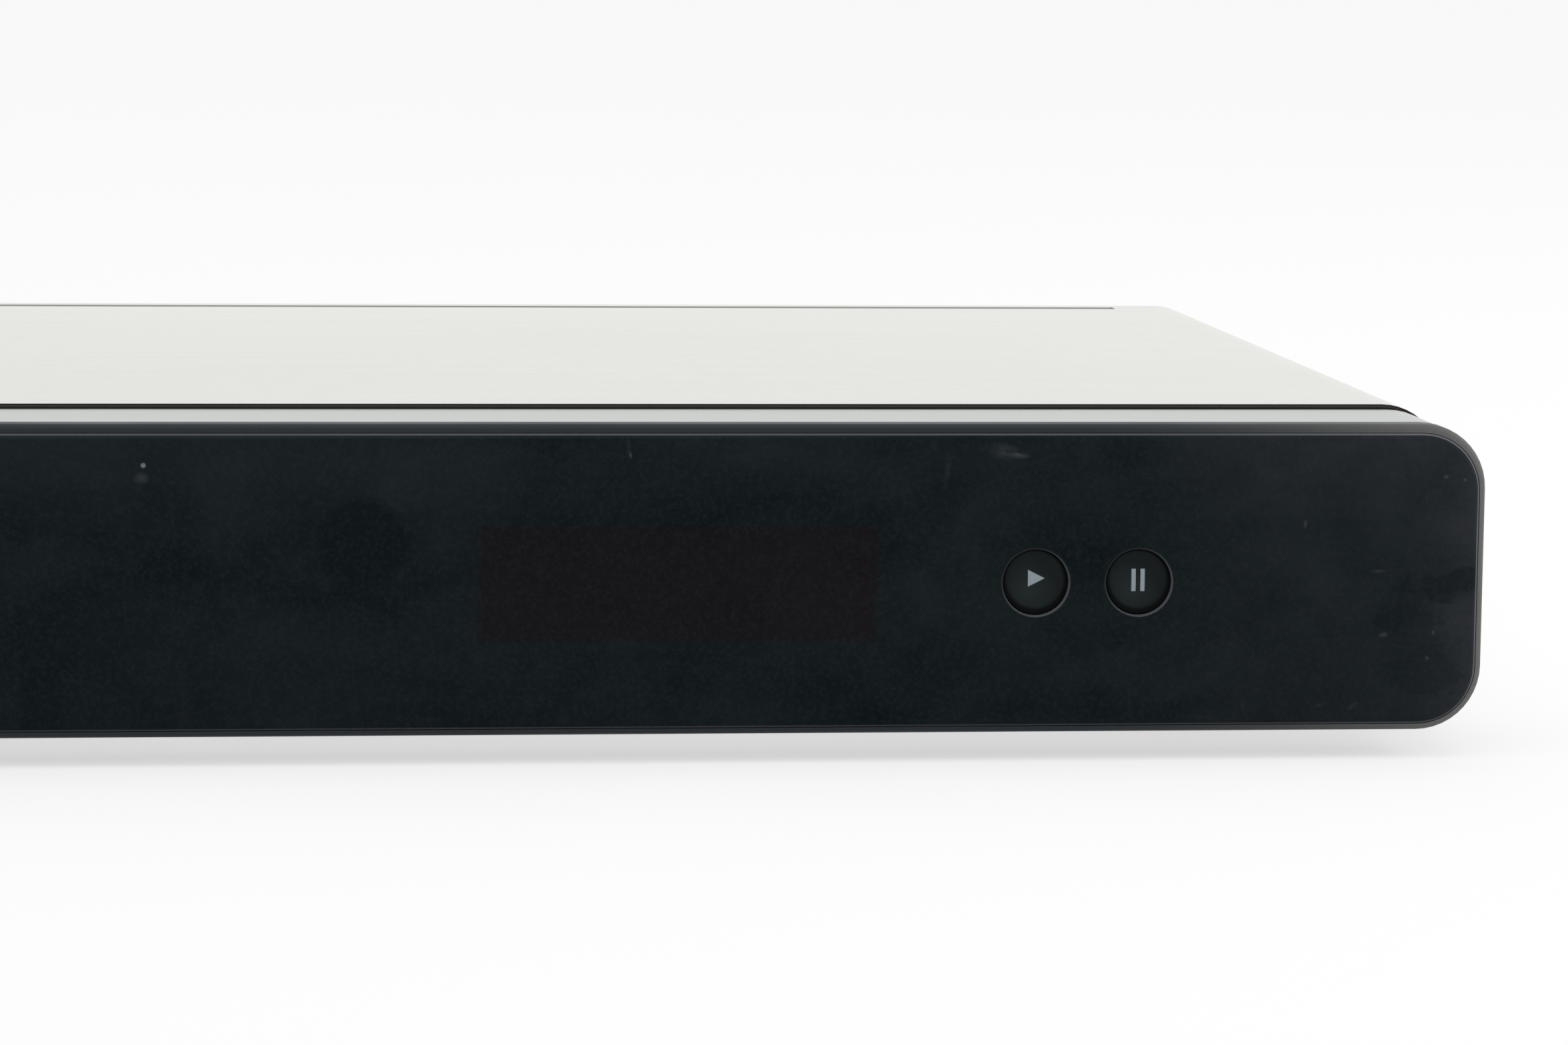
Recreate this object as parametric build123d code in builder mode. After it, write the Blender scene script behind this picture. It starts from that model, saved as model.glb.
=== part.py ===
from build123d import *
import math
import os

# A full-width disc player with a motor-driven loading tray, in millimetres.
# X runs to the right seen from the front, Y runs to the back and Z runs up.
# The origin is on the surface that the player stands on, under the middle of its outline.

os.makedirs("parts", exist_ok=True)

# Clearances
fit_gap = 0.2
run_gap = 0.05
slide_gap = 0.4
rail_gap = 0.15
seat_gap = 0.3

# Case
body_width = 435.0
body_depth = 250.0
panel_height = 52.4
panel_lift = 5.0
corner_radius = 11.0
sheet = 1.0
cover_rise = 0.4
cover_inset = 0.4
cover_lip = 9.0
groove_width = 4.5
groove_depth = 0.4
groove_setback = 4.5
groove_end_inset = 21.5
chassis_flange = 14.0
jack_reach = 8.0

# Feet
foot_radius = 9.0
pad_radius = 7.0
pad_height = 1.8
pad_recess = 1.0
foot_inset_side = 42.0
foot_inset_front = 48.0
foot_inset_rear = 34.0
foot_chamfer = 0.5

# Screws
screw_radius = 1.5
screw_head_radius = 2.9
screw_head_height = 1.6
screw_bite = 5.0

# Front panel
bezel_depth = 14.5
bezel_lip = 1.05
bezel_top_extra = 0.4
bezel_wall = 2.0
bezel_edge_radius = 0.9
plate_thickness = 2.5
plate_proud = 0.4
plate_gap = 0.1
plate_chamfer = 0.5
trim_depth = 23.4
trim_step = 0.2
gasket_width = 3.3
gasket_drop = 0.2
panel_boss_radius = 3.2

# Keys, display, receiver and lamp: places across the panel start from its two ends
row_drop = 0.6
standby_inset = 15.5
pause_inset = 59.6
key_pitch = 17.6
key_radius = 5.4
key_gap = 0.2
key_chamfer = 0.3
key_edge_drop = 0.7
key_flange_radius = 6.9
key_flange = 1.0
key_stem_radius = 1.6
key_travel = 0.8
key_touch = 0.05
switch_size = 6.0
switch_body = 3.5
switch_plunger = 0.8
switch_plunger_radius = 1.7
display_key_gap = 27.0
display_width = 66.8
display_height = 19.7
display_glass = 6.0
filter_thickness = 0.3
receiver_display_gap = 19.2
receiver_rise = 6.9
receiver_window_radius = 7.4
receiver_size = 7.0
receiver_body = 4.5
receiver_lens_radius = 2.6
lamp_receiver_gap = 36.3
lamp_rise = 20.0
lamp_radius = 0.5
lamp_body_radius = 1.5
lamp_led = 3.0
front_board_gap = 8.0
front_board_height = 38.0
front_board_end = 5.0
panel_boss_inset = 14.0
standby_board_width = 34.0
standby_board_height = 24.0

# Circuit boards
board_thickness = 1.6
standoff_height = 6.0
standoff_radius = 3.0
board_loader_gap = 9.1
main_board_width = 136.0
main_board_depth = 150.0
board_hole_inset = 6.0
board_rear_gap = 1.0
board_spacing = 13.9
power_board_depth = 118.0
power_board_side_gap = 7.0

# Tray and lid
tray_above_floor = 21.0
tray_width = 128.0
tray_length = 170.0
tray_rim = 7.0
tray_lip = 2.5
tray_lip_width = 1.6
tray_travel = 135.0
disc_setback = 75.0
disc_recess_radius = 61.0
disc_recess = 3.5
small_disc_radius = 41.0
small_disc_recess = 0.8
pickup_slot = 38.0
pickup_slot_ahead = 21.0
lid_overhang = 4.0
lid_key_gap = 8.0
lid_height = 17.0
lid_below_tray = 4.0
lid_thickness = 3.5
lid_corner = 1.2
lid_chamfer = 0.3

# Loader frame and clamp
loader_lift = 3.0
loader_floor = 2.0
loader_wall = 2.5
loader_front_gap = 2.5
loader_back_gap = 6.0
loader_above_tray = 5.0
ledge_width = 6.0
ledge_height = 2.0
tab_length = 18.0
ear_length = 10.0
ear_width = 9.0
ear_setback = 24.0
bridge_depth = 44.0
bridge_thickness = 1.2
clamp_hole_radius = 14.0
clamp_flange_radius = 16.0
clamp_flange = 1.5
clamp_drop = 4.5

# Tray drive
gear_module = 1.0
tray_gear_teeth = 24
pinion_teeth = 12
pressure_angle = 20.0
gear_backlash = 0.25
gear_face = 3.4
gear_below_tray = 0.4
gear_post_radius = 2.0
gear_shoulder_radius = 4.0
drive_setback = 14.0
rack_inset = 16.0
rack_height = 3.0
rack_back = 3.0
pulley_groove_radius = 9.6
motor_groove_radius = 2.8
pulley_flange = 1.4
pulley_height = 3.0
belt_height = 1.2
belt_thickness = 1.0
belt_gap = 0.1
belt_span = 32.0
motor_radius = 10.0
motor_body = 10.0
motor_shaft_radius = 1.0

# Lift frame, traverse and pickup
lift_half_width = 35.0
lift_ahead = 24.0
lift_behind = 6.0
lift_bar = 6.0
lift_thickness = 2.0
lift_clear = 2.0
hinge_setback = 92.0
hinge_radius = 2.0
hinge_lug = 4.5
hinge_lug_half = 4.0
lift_angle = 2.8
damper_radius = 4.0
damper_height = 2.0
traverse_half_width = 31.0
traverse_thickness = 1.2
spindle_radius = 13.0
spindle_height = 6.2
spindle_shaft_radius = 1.5
turntable_radius = 14.5
turntable_height = 2.8
hub_radius = 7.4
hub_height = 1.8
rail_radius = 1.5
rail_spacing = 26.0
rail_above_plate = 2.6
rail_start = 15.5
rail_block = 4.0
rail_block_half = 3.0
rail_cap = 0.8
sled_width = 36.0
sled_length = 20.0
sled_height = 5.0
sled_floor_gap = 0.5
sled_travel = 34.0
sled_nut = 7.0
lens_radius = 3.0
lens_height = 1.5
screw_rod_radius = 1.5
screw_rod_offset = 23.0
screw_rod_clear = 1.6
sled_motor_radius = 4.4
sled_motor_length = 8.0

# Lift cam
cam_thickness = 3.0
cam_gap = 1.0
cam_travel = 20.0
cam_margin = 7.0
cam_pin_radius = 1.5
cam_slot_gap = 0.5
cam_rib = 2.0
cam_rib_height = 4.0

# Rear panel and sockets
cover_screw_pitch = 150.0
rear_tab_width = 14.0
rear_tab_height = 6.2
rear_tab_inset = 16.0
rear_tab_middle = -60.0
vent_x = -120.0
vent_z = 32.0
vent_pitch = 5.0
vent_row_pitch = 16.0
vent_columns = 16
vent_rows = 2
vent_length = 12.0
vent_width = 2.0
board_screw_setback = 22.0
first_jack_inset = 48.0
jack_pitch = 13.5
jack_count = 7
jack_rise = 7.0
jack_radius = 4.1
jack_bore_radius = 1.7
jack_housing = 12.0
jack_housing_depth = 11.0
jack_ring = 2.0
jack_ring_radius = 5.6
socket_proud = 0.5
hdmi_inset = 11.0
hdmi_width = 15.0
hdmi_height = 6.0
hdmi_depth = 12.0
hdmi_wall = 0.6
hdmi_tongue = 11.0
lan_inset = 30.0
lan_width = 16.0
lan_height = 13.5
lan_depth = 16.0
lan_port_width = 11.8
lan_port_height = 7.0
lan_port_depth = 11.0
lan_key_width = 6.0
lan_key_height = 1.8
inlet_inset = 32.0
inlet_width = 24.0
inlet_height = 16.0
inlet_depth = 18.0
inlet_port_width = 15.4
inlet_port_height = 8.6
inlet_port_depth = 11.0
inlet_pin_pitch = 8.6
inlet_pin_radius = 1.2
inlet_pin_recess = 1.5

# Parts on the boards
decoder_inset = 58.0
decoder_setback = 67.0
decoder_size = 35.0
decoder_height = 2.0
memory_count = 3
memory_gap = 6.0
memory_width = 8.0
memory_length = 12.0
memory_pitch = 15.0
memory_height = 1.2
sink_base = 2.0
sink_height = 14.0
fin_count = 8
fin_thickness = 1.2
bulk_radius = 11.0
bulk_height = 30.0
bulk_inset = 25.0
part_margin = 2.0
small_cap_count = 5
small_cap_setback = 16.0
small_cap_pitch = 16.0
small_cap_radius = 4.0
small_cap_height = 11.0
transformer_width = 30.0
transformer_core = 14.0
transformer_winding = 20.0
transformer_height = 24.0
transformer_setback = 34.0
power_sink_length = 22.0
power_sink_height = 26.0
power_sink_foot = 10.0
power_sink_thickness = 2.0
ribbon_inset = 78.0
ribbon_width = 20.0
ribbon_thickness = 0.4
ribbon_rise = 4.0
cable_socket_width = 24.0
cable_socket_depth = 5.0

# Small details of the loader
tab_height = 1.2
bridge_skirt = 6.0
collar_height = 4.0
collar_wall = 1.5
pulley_below_gear = 6.0
tooth_depth = 1.25
tooth_height = 0.9
flank_steps = 4
rack_spare_teeth = 6
shaft_depth = 4.0
cam_wall = 2.0
lens_setback = 4.0
hub_chamfer = 0.6

# Places worked out from the sizes
half_width = body_width / 2
standby_x = standby_inset - half_width
eject_x = standby_x + key_pitch
pause_x = half_width - pause_inset
play_x = pause_x - key_pitch
display_x = play_x - display_key_gap - display_width / 2
receiver_x = display_x - display_width / 2 - receiver_display_gap
lamp_x = receiver_x - lamp_receiver_gap
lid_width = tray_width + 2 * lid_overhang
tray_x = eject_x + key_radius + lid_key_gap + lid_width / 2
front_y = -(body_depth + jack_reach) / 2
rear_y = front_y + body_depth
panel_top = panel_lift + panel_height
panel_mid = panel_lift + panel_height / 2
row_mid = panel_mid - row_drop
cover_top = panel_top + cover_rise
plate_back = front_y + plate_thickness
bezel_front = front_y + plate_proud
base_back = plate_back + bezel_wall
bezel_back = front_y + bezel_depth
trim_back = base_back + trim_depth
cover_front = trim_back + gasket_width
inner_half = half_width - cover_inset - sheet
inner_radius = corner_radius - sheet
chassis_half = inner_half - fit_gap
tongue_half = half_width - corner_radius - bezel_wall
floor_bottom = panel_lift + bezel_wall
floor_top = floor_bottom + sheet
panel_face_y = rear_y - sheet
board_bottom = floor_top + standoff_height
board_top = board_bottom + board_thickness
foot_places = [
    (side * (half_width - foot_inset_side), y)
    for side in (-1, 1)
    for y in (front_y + foot_inset_front, rear_y - foot_inset_rear)
]

lid_mid = floor_top + tray_above_floor - lid_below_tray + lid_height / 2
lid_back = front_y + lid_thickness
front_board_y = base_back + front_board_gap
switch_tip_y = front_board_y - switch_body - switch_plunger
front_board_left = lamp_x - front_board_end
front_board_right = pause_x + key_flange_radius + front_board_end
standby_board_mid = (standby_x + eject_x) / 2
key_places = {
    "standby_button": (standby_x, row_mid),
    "open_close_button": (eject_x, row_mid),
    "play_button": (play_x, row_mid),
    "pause_button": (pause_x, row_mid),
}
panel_boss_places = [
    (x, row_mid + side * (front_board_height / 2 - panel_boss_radius))
    for x in (front_board_left + panel_boss_inset, front_board_right - panel_boss_inset)
    for side in (-1, 1)
]
standby_boss_places = [
    (standby_board_mid, row_mid + side * (standby_board_height / 2 - panel_boss_radius))
    for side in (-1, 1)
]


def front_plane(y):
    """A drawing plane that faces the front at depth y, with X across and Z up."""
    return Plane(origin=(0, y, 0), x_dir=(1, 0, 0), z_dir=(0, -1, 0))


def block(x, y, z, mode=Mode.ADD):
    """A square-edged block between the low and high values of x, y and z."""
    with Locations(((x[0] + x[1]) / 2, (y[0] + y[1]) / 2, (z[0] + z[1]) / 2)):
        Box(x[1] - x[0], y[1] - y[0], z[1] - z[0], mode=mode)


def post(x, y, z, radius, mode=Mode.ADD):
    """An upright round post at x, y between the low and high values of z."""
    with Locations((x, y, (z[0] + z[1]) / 2)):
        Cylinder(radius, z[1] - z[0], mode=mode)


def rod(x, y, z, radius, mode=Mode.ADD):
    """A round rod along Y at x, z between the low and high values of y."""
    with Locations((x, (y[0] + y[1]) / 2, z)):
        Cylinder(radius, y[1] - y[0], rotation=(90, 0, 0), mode=mode)


def axle(x, y, z, radius, mode=Mode.ADD):
    """A round rod along X at y, z between the low and high values of x."""
    with Locations(((x[0] + x[1]) / 2, y, z)):
        Cylinder(radius, x[1] - x[0], rotation=(0, 90, 0), mode=mode)


def arch_outline(width, foot, top, radius):
    """The edges of an upright outline with a flat foot and two rounded top corners."""
    with BuildLine() as outline:
        FilletPolyline(
            (-width / 2, foot),
            (-width / 2, top),
            (width / 2, top),
            (width / 2, foot),
            radius=radius,
        )
        Line((-width / 2, foot), (width / 2, foot))
    return outline.edges()


def arch(y, half, top, radius, wall):
    """A sheet bent over the top and both sides, open below, between two depths."""
    with BuildPart() as shell:
        with BuildSketch(front_plane(y[0])):
            make_face(arch_outline(2 * half, floor_bottom, top, radius))
            make_face(
                arch_outline(2 * (half - wall), floor_bottom, top - wall, radius - wall),
                mode=Mode.SUBTRACT,
            )
        extrude(amount=y[0] - y[1])
    return shell.part


def panel_outline(inset, top_drop=0.0, mode=Mode.ADD):
    """The panel's rounded outline, smaller by an inset all round and lowered further at the top."""
    with Locations((0, panel_mid - top_drop / 2)):
        RectangleRounded(
            body_width - 2 * inset,
            panel_height - 2 * inset - top_drop,
            corner_radius - inset,
            mode=mode,
        )


def upright_screw(x, y, seat):
    """A pan-head screw standing head up on a seat height."""
    post(x, y, (seat, seat + screw_head_height), screw_head_radius)
    post(x, y, (seat - screw_bite, seat), screw_radius)


def save(piece, name):
    """Label a finished piece and write it to its own file."""
    piece.label = name
    export_step(piece, f"parts/{name}.step")


# Front bezel: the moulded frame that carries the plate, the keys and the front boards
with BuildPart() as front_bezel:
    with BuildSketch(front_plane(bezel_front)):
        panel_outline(0)
    extrude(amount=bezel_front - base_back)
    fillet(front_bezel.faces().sort_by(Axis.Y)[0].edges(), bezel_edge_radius)
    with BuildSketch(front_plane(bezel_front)):
        panel_outline(bezel_lip, bezel_top_extra)
    extrude(amount=bezel_front - plate_back, mode=Mode.SUBTRACT)
    with BuildSketch(front_plane(plate_back)):
        with Locations((tray_x, lid_mid)):
            RectangleRounded(
                lid_width + 2 * slide_gap, lid_height + 2 * slide_gap, lid_corner + slide_gap
            )
        with Locations((display_x, row_mid)):
            Rectangle(display_width + 2 * fit_gap, display_height + 2 * fit_gap)
        with Locations((receiver_x, row_mid + receiver_rise)):
            Circle(receiver_window_radius + fit_gap)
        with Locations((lamp_x, row_mid + lamp_rise)):
            Circle(lamp_body_radius + fit_gap)
        with Locations(*key_places.values()):
            Circle(key_radius + key_gap)
    extrude(amount=plate_back - base_back, mode=Mode.SUBTRACT)
    block((-tongue_half, tongue_half), (base_back, bezel_back), (panel_lift, floor_bottom))
    for x, z in panel_boss_places + standby_boss_places:
        rod(x, (base_back, front_board_y), z, panel_boss_radius)
        rod(x, (front_board_y - screw_bite, front_board_y), z, screw_radius + run_gap, Mode.SUBTRACT)
save(front_bezel.part, "front_bezel")

# Front plate: one smoked gloss sheet let into the bezel
with BuildPart() as front_plate:
    with BuildSketch(front_plane(front_y)):
        panel_outline(bezel_lip + plate_gap, bezel_top_extra)
    extrude(amount=front_y - plate_back)
    chamfer(front_plate.faces().sort_by(Axis.Y)[0].edges(), plate_chamfer)
    with BuildSketch(front_plane(front_y)):
        with Locations((tray_x, lid_mid)):
            RectangleRounded(
                lid_width + 2 * slide_gap, lid_height + 2 * slide_gap, lid_corner + slide_gap
            )
        with Locations(*key_places.values()):
            Circle(key_radius + key_gap)
        with Locations((lamp_x, row_mid + lamp_rise)):
            Circle(lamp_radius + run_gap)
    extrude(amount=front_y - plate_back, mode=Mode.SUBTRACT)
    key_rims = front_plate.edges().filter_by(GeomType.CIRCLE).group_by(Axis.Y)[0]
    chamfer(key_rims.filter_by(lambda rim: rim.radius > key_radius), key_chamfer)
save(front_plate.part, "front_plate")

# Filters stuck to the back of the plate, in front of the display and the receiver
with BuildPart() as display_filter:
    block(
        (display_x - display_width / 2, display_x + display_width / 2),
        (plate_back, plate_back + filter_thickness),
        (row_mid - display_height / 2, row_mid + display_height / 2),
    )
save(display_filter.part, "display_filter")

with BuildPart() as receiver_filter:
    rod(
        receiver_x,
        (plate_back, plate_back + filter_thickness),
        row_mid + receiver_rise,
        receiver_window_radius,
    )
save(receiver_filter.part, "receiver_filter")


def push_key(x, z):
    """A round key with a domed face, a flange behind the bezel and a stem to its switch."""
    cap_back = base_back - front_y
    stem_end = switch_tip_y - key_travel - key_touch - front_y
    with BuildPart() as key:
        with BuildSketch(Plane(origin=(x, front_y, z), x_dir=(1, 0, 0), z_dir=(0, 0, 1))):
            with BuildLine():
                dome = JernArc(
                    start=(0, 0),
                    tangent=(1, 0),
                    radius=(key_radius**2 + key_edge_drop**2) / (2 * key_edge_drop),
                    arc_size=math.degrees(2 * math.atan(key_edge_drop / key_radius)),
                )
                Polyline(
                    dome @ 1,
                    (key_radius, cap_back),
                    (key_flange_radius, cap_back),
                    (key_flange_radius, cap_back + key_flange),
                    (key_stem_radius, cap_back + key_flange),
                    (key_stem_radius, stem_end),
                    (0, stem_end),
                    (0, 0),
                )
            make_face()
        revolve(axis=Axis((x, front_y, z), (0, 1, 0)))
    return key.part


for key_name, key_place in key_places.items():
    save(push_key(*key_place), key_name)

# Front boards with the switches, the display, the receiver and the lamp
front_board_back = front_board_y + board_thickness
with BuildPart() as front_board:
    block(
        (front_board_left, front_board_right),
        (front_board_y, front_board_back),
        (row_mid - front_board_height / 2, row_mid + front_board_height / 2),
    )
    for x, z in panel_boss_places:
        rod(x, (front_board_y, front_board_back), z, screw_radius + fit_gap, Mode.SUBTRACT)
save(front_board.part, "front_board")

with BuildPart() as standby_board:
    block(
        (standby_board_mid - standby_board_width / 2, standby_board_mid + standby_board_width / 2),
        (front_board_y, front_board_back),
        (row_mid - standby_board_height / 2, row_mid + standby_board_height / 2),
    )
    for x, z in standby_boss_places:
        rod(x, (front_board_y, front_board_back), z, screw_radius + fit_gap, Mode.SUBTRACT)
save(standby_board.part, "standby_board")

with BuildPart() as tact_switches:
    for x, z in key_places.values():
        block(
            (x - switch_size / 2, x + switch_size / 2),
            (front_board_y - switch_body, front_board_y),
            (z - switch_size / 2, z + switch_size / 2),
        )
        rod(x, (switch_tip_y, front_board_y - switch_body), z, switch_plunger_radius)
save(tact_switches.part, "tact_switches")

with BuildPart() as display_module:
    block(
        (display_x - display_width / 2, display_x + display_width / 2),
        (front_board_y - display_glass, front_board_y),
        (row_mid - display_height / 2, row_mid + display_height / 2),
    )
    chamfer(display_module.faces().sort_by(Axis.Y)[0].edges(), plate_chamfer)
save(display_module.part, "display_module")

with BuildPart() as remote_receiver:
    receiver_z = row_mid + receiver_rise
    block(
        (receiver_x - receiver_size / 2, receiver_x + receiver_size / 2),
        (front_board_y - receiver_body, front_board_y),
        (receiver_z - receiver_size / 2, receiver_z + receiver_size / 2),
    )
    with Locations((receiver_x, front_board_y - receiver_body, receiver_z)):
        Sphere(receiver_lens_radius)
save(remote_receiver.part, "remote_receiver")

with BuildPart() as standby_lamp:
    rod(lamp_x, (front_board_y - lamp_led, front_board_y), row_mid + lamp_rise, lamp_body_radius)
save(standby_lamp.part, "standby_lamp")

with BuildPart() as light_pipe:
    rod(lamp_x, (front_y, plate_back), row_mid + lamp_rise, lamp_radius)
    rod(lamp_x, (plate_back, front_board_y - lamp_led), row_mid + lamp_rise, lamp_body_radius)
save(light_pipe.part, "light_pipe")

# Silver trim: a band behind the bezel, open along the bottom where the chassis tongue passes
trim_wall = cover_inset + sheet - trim_step
with BuildPart() as front_trim:
    with BuildSketch(front_plane(base_back)):
        panel_outline(trim_step)
        panel_outline(trim_step + trim_wall, mode=Mode.SUBTRACT)
    extrude(amount=base_back - trim_back)
    trim_opening = tongue_half + fit_gap
    block(
        (-trim_opening, trim_opening),
        (base_back, trim_back),
        (panel_lift, floor_bottom),
        Mode.SUBTRACT,
    )
save(front_trim.part, "front_trim")

# Dark gasket in the joint, and the cover behind it
cover_gasket = arch(
    (trim_back, cover_front),
    half_width - cover_inset - gasket_drop,
    cover_top - gasket_drop,
    corner_radius,
    sheet - gasket_drop,
)
save(cover_gasket, "cover_gasket")

lip_half = half_width - cover_inset - corner_radius
lip_screw_z = cover_top - (cover_lip + sheet) / 2
lip_screw_places = [-cover_screw_pitch, 0, cover_screw_pitch]
with BuildPart() as top_cover:
    add(arch((cover_front, rear_y), half_width - cover_inset, cover_top, corner_radius, sheet))
    block((-lip_half, lip_half), (panel_face_y, rear_y), (cover_top - cover_lip, cover_top - sheet))
    groove_half = half_width - groove_end_inset
    groove_back = rear_y - groove_setback
    block(
        (-groove_half, groove_half),
        (groove_back - groove_width, groove_back),
        (cover_top - groove_depth, cover_top),
        Mode.SUBTRACT,
    )
    for x in lip_screw_places:
        rod(x, (panel_face_y, rear_y), lip_screw_z, screw_radius + fit_gap, Mode.SUBTRACT)
save(top_cover.part, "top_cover")

# Places of the boards, the sockets and their screws
panel_inner_y = panel_face_y - sheet
board_back = panel_inner_y - board_rear_gap
main_board_front = board_back - main_board_depth
loader_half = tray_width / 2 + slide_gap + loader_wall
main_board_left = tray_x + loader_half + ear_width + board_loader_gap
main_board_right = main_board_left + main_board_width
power_board_right = chassis_half - sheet - power_board_side_gap
power_board_left = main_board_right + board_spacing
power_board_front = board_back - power_board_depth
main_screw_places = [
    (x, y)
    for x in (main_board_left + board_hole_inset, main_board_right - board_hole_inset)
    for y in (main_board_front + board_hole_inset, board_back - board_screw_setback)
]
power_screw_places = [
    (x, y)
    for x in (power_board_left + board_hole_inset, power_board_right - board_hole_inset)
    for y in (power_board_front + board_hole_inset, board_back - board_screw_setback)
]
jack_z = board_top + jack_rise
first_jack_x = main_board_left + first_jack_inset
jack_places = [first_jack_x + jack_pitch * place for place in range(jack_count)]
hdmi_x = main_board_left + hdmi_inset
lan_x = main_board_left + lan_inset
inlet_x = power_board_right - inlet_inset
inlet_z = board_top + inlet_height / 2
rear_tab_places = [-(chassis_half - rear_tab_inset), rear_tab_middle, chassis_half - rear_tab_inset]
rear_tab_z = floor_top + rear_tab_height / 2

# Loader places that the chassis posts follow
loader_bottom = floor_top + loader_lift
loader_front = bezel_back + loader_front_gap
loader_back = lid_back + tray_length + loader_back_gap
ear_half = loader_half + ear_width / 2
loader_ear_places = [
    (tray_x + side * ear_half, y)
    for side in (-1, 1)
    for y in (loader_front + ear_setback, loader_back - ear_length / 2)
]

# Bottom chassis: a folded steel tray with standoffs for the boards and the loader
with BuildPart() as bottom_chassis:
    block((-chassis_half, chassis_half), (trim_back, panel_face_y), (floor_bottom, floor_top))
    block((-tongue_half, tongue_half), (base_back + fit_gap, trim_back), (floor_bottom, floor_top))
    for side in (-1, 1):
        flange_x = sorted((side * (chassis_half - sheet), side * chassis_half))
        block(flange_x, (trim_back, panel_inner_y), (floor_top, floor_top + chassis_flange))
    for x in rear_tab_places:
        block(
            (x - rear_tab_width / 2, x + rear_tab_width / 2),
            (panel_inner_y - sheet, panel_inner_y),
            (floor_top, floor_top + rear_tab_height),
        )
        rod(x, (panel_inner_y - sheet, panel_inner_y), rear_tab_z, screw_radius + fit_gap, Mode.SUBTRACT)
    for x, y in main_screw_places + power_screw_places:
        post(x, y, (floor_top, board_bottom), standoff_radius)
        post(x, y, (board_bottom - screw_bite, board_bottom), screw_radius + run_gap, Mode.SUBTRACT)
    for x, y in loader_ear_places:
        post(x, y, (floor_top, loader_bottom), standoff_radius)
        post(x, y, (floor_bottom, loader_bottom), screw_radius + run_gap, Mode.SUBTRACT)
    for x, y in foot_places:
        post(x, y, (floor_bottom, floor_top), screw_radius + fit_gap, Mode.SUBTRACT)
save(bottom_chassis.part, "bottom_chassis")

# Rear panel: a plate inside the cover, cut out for the sockets
with BuildPart() as rear_panel:
    with BuildSketch(front_plane(panel_inner_y)):
        make_face(
            arch_outline(2 * chassis_half, floor_top, cover_top - sheet - fit_gap, inner_radius)
        )
        with Locations(*[(x, jack_z) for x in jack_places]):
            Circle(jack_radius + fit_gap, mode=Mode.SUBTRACT)
        with Locations((hdmi_x, board_top + hdmi_height / 2)):
            Rectangle(hdmi_width + 2 * fit_gap, hdmi_height + 2 * fit_gap, mode=Mode.SUBTRACT)
        with Locations((lan_x, board_top + lan_height / 2)):
            Rectangle(lan_width + 2 * fit_gap, lan_height + 2 * fit_gap, mode=Mode.SUBTRACT)
        with Locations((inlet_x, inlet_z)):
            Rectangle(inlet_width + 2 * fit_gap, inlet_height + 2 * fit_gap, mode=Mode.SUBTRACT)
        with Locations(*[(x, lip_screw_z) for x in lip_screw_places]):
            Circle(screw_radius + fit_gap, mode=Mode.SUBTRACT)
        with Locations(*[(x, rear_tab_z) for x in rear_tab_places]):
            Circle(screw_radius + fit_gap, mode=Mode.SUBTRACT)
        with Locations((vent_x, vent_z)):
            with GridLocations(vent_pitch, vent_row_pitch, vent_columns, vent_rows):
                SlotOverall(vent_length, vent_width, rotation=90, mode=Mode.SUBTRACT)
    extrude(amount=panel_inner_y - panel_face_y)
save(rear_panel.part, "rear_panel")

# Feet: turned plastic discs with a rubber pad let into each and a screw from inside
foot_bottom = pad_height - pad_recess
with BuildPart() as feet:
    for x, y in foot_places:
        post(x, y, (foot_bottom, floor_bottom), foot_radius)
        post(x, y, (foot_bottom, pad_height), pad_radius + fit_gap, Mode.SUBTRACT)
        post(x, y, (pad_height, floor_bottom), screw_radius + run_gap, Mode.SUBTRACT)
    foot_rims = feet.faces().group_by(Axis.Z)[0].edges().filter_by(GeomType.CIRCLE)
    chamfer(foot_rims.filter_by(lambda rim: rim.radius > pad_radius + 2 * fit_gap), foot_chamfer)
save(feet.part, "feet")

with BuildPart() as foot_pads:
    for x, y in foot_places:
        post(x, y, (0, pad_height), pad_radius)
save(foot_pads.part, "foot_pads")


# Circuit boards on their standoffs
def drilled_board(x, y, holes):
    """A board on the standoffs, between two corners, with a hole over each standoff."""
    with BuildPart() as board:
        block(x, y, (board_bottom, board_top))
        for hole_x, hole_y in holes:
            post(hole_x, hole_y, (board_bottom, board_top), screw_radius + fit_gap, Mode.SUBTRACT)
    return board.part


main_board = drilled_board(
    (main_board_left, main_board_right), (main_board_front, board_back), main_screw_places
)
save(main_board, "main_board")

power_board = drilled_board(
    (power_board_left, power_board_right), (power_board_front, board_back), power_screw_places
)
save(power_board, "power_board")

# Sockets through the rear panel
with BuildPart() as jack_housings:
    for x in jack_places:
        block(
            (x - jack_housing / 2, x + jack_housing / 2),
            (panel_inner_y - jack_housing_depth, panel_inner_y),
            (board_top, jack_z + jack_housing / 2),
        )
save(jack_housings.part, "jack_housings")

with BuildPart() as jack_shells:
    for x in jack_places:
        rod(x, (panel_inner_y, rear_y + jack_reach), jack_z, jack_radius)
        rod(x, (panel_face_y, rear_y + jack_reach), jack_z, jack_bore_radius, Mode.SUBTRACT)
save(jack_shells.part, "jack_shells")

with BuildPart() as jack_rings:
    for x in jack_places:
        rod(x, (panel_face_y, panel_face_y + jack_ring), jack_z, jack_ring_radius)
        rod(x, (panel_face_y, panel_face_y + jack_ring), jack_z, jack_radius + run_gap, Mode.SUBTRACT)
save(jack_rings.part, "jack_rings")

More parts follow.
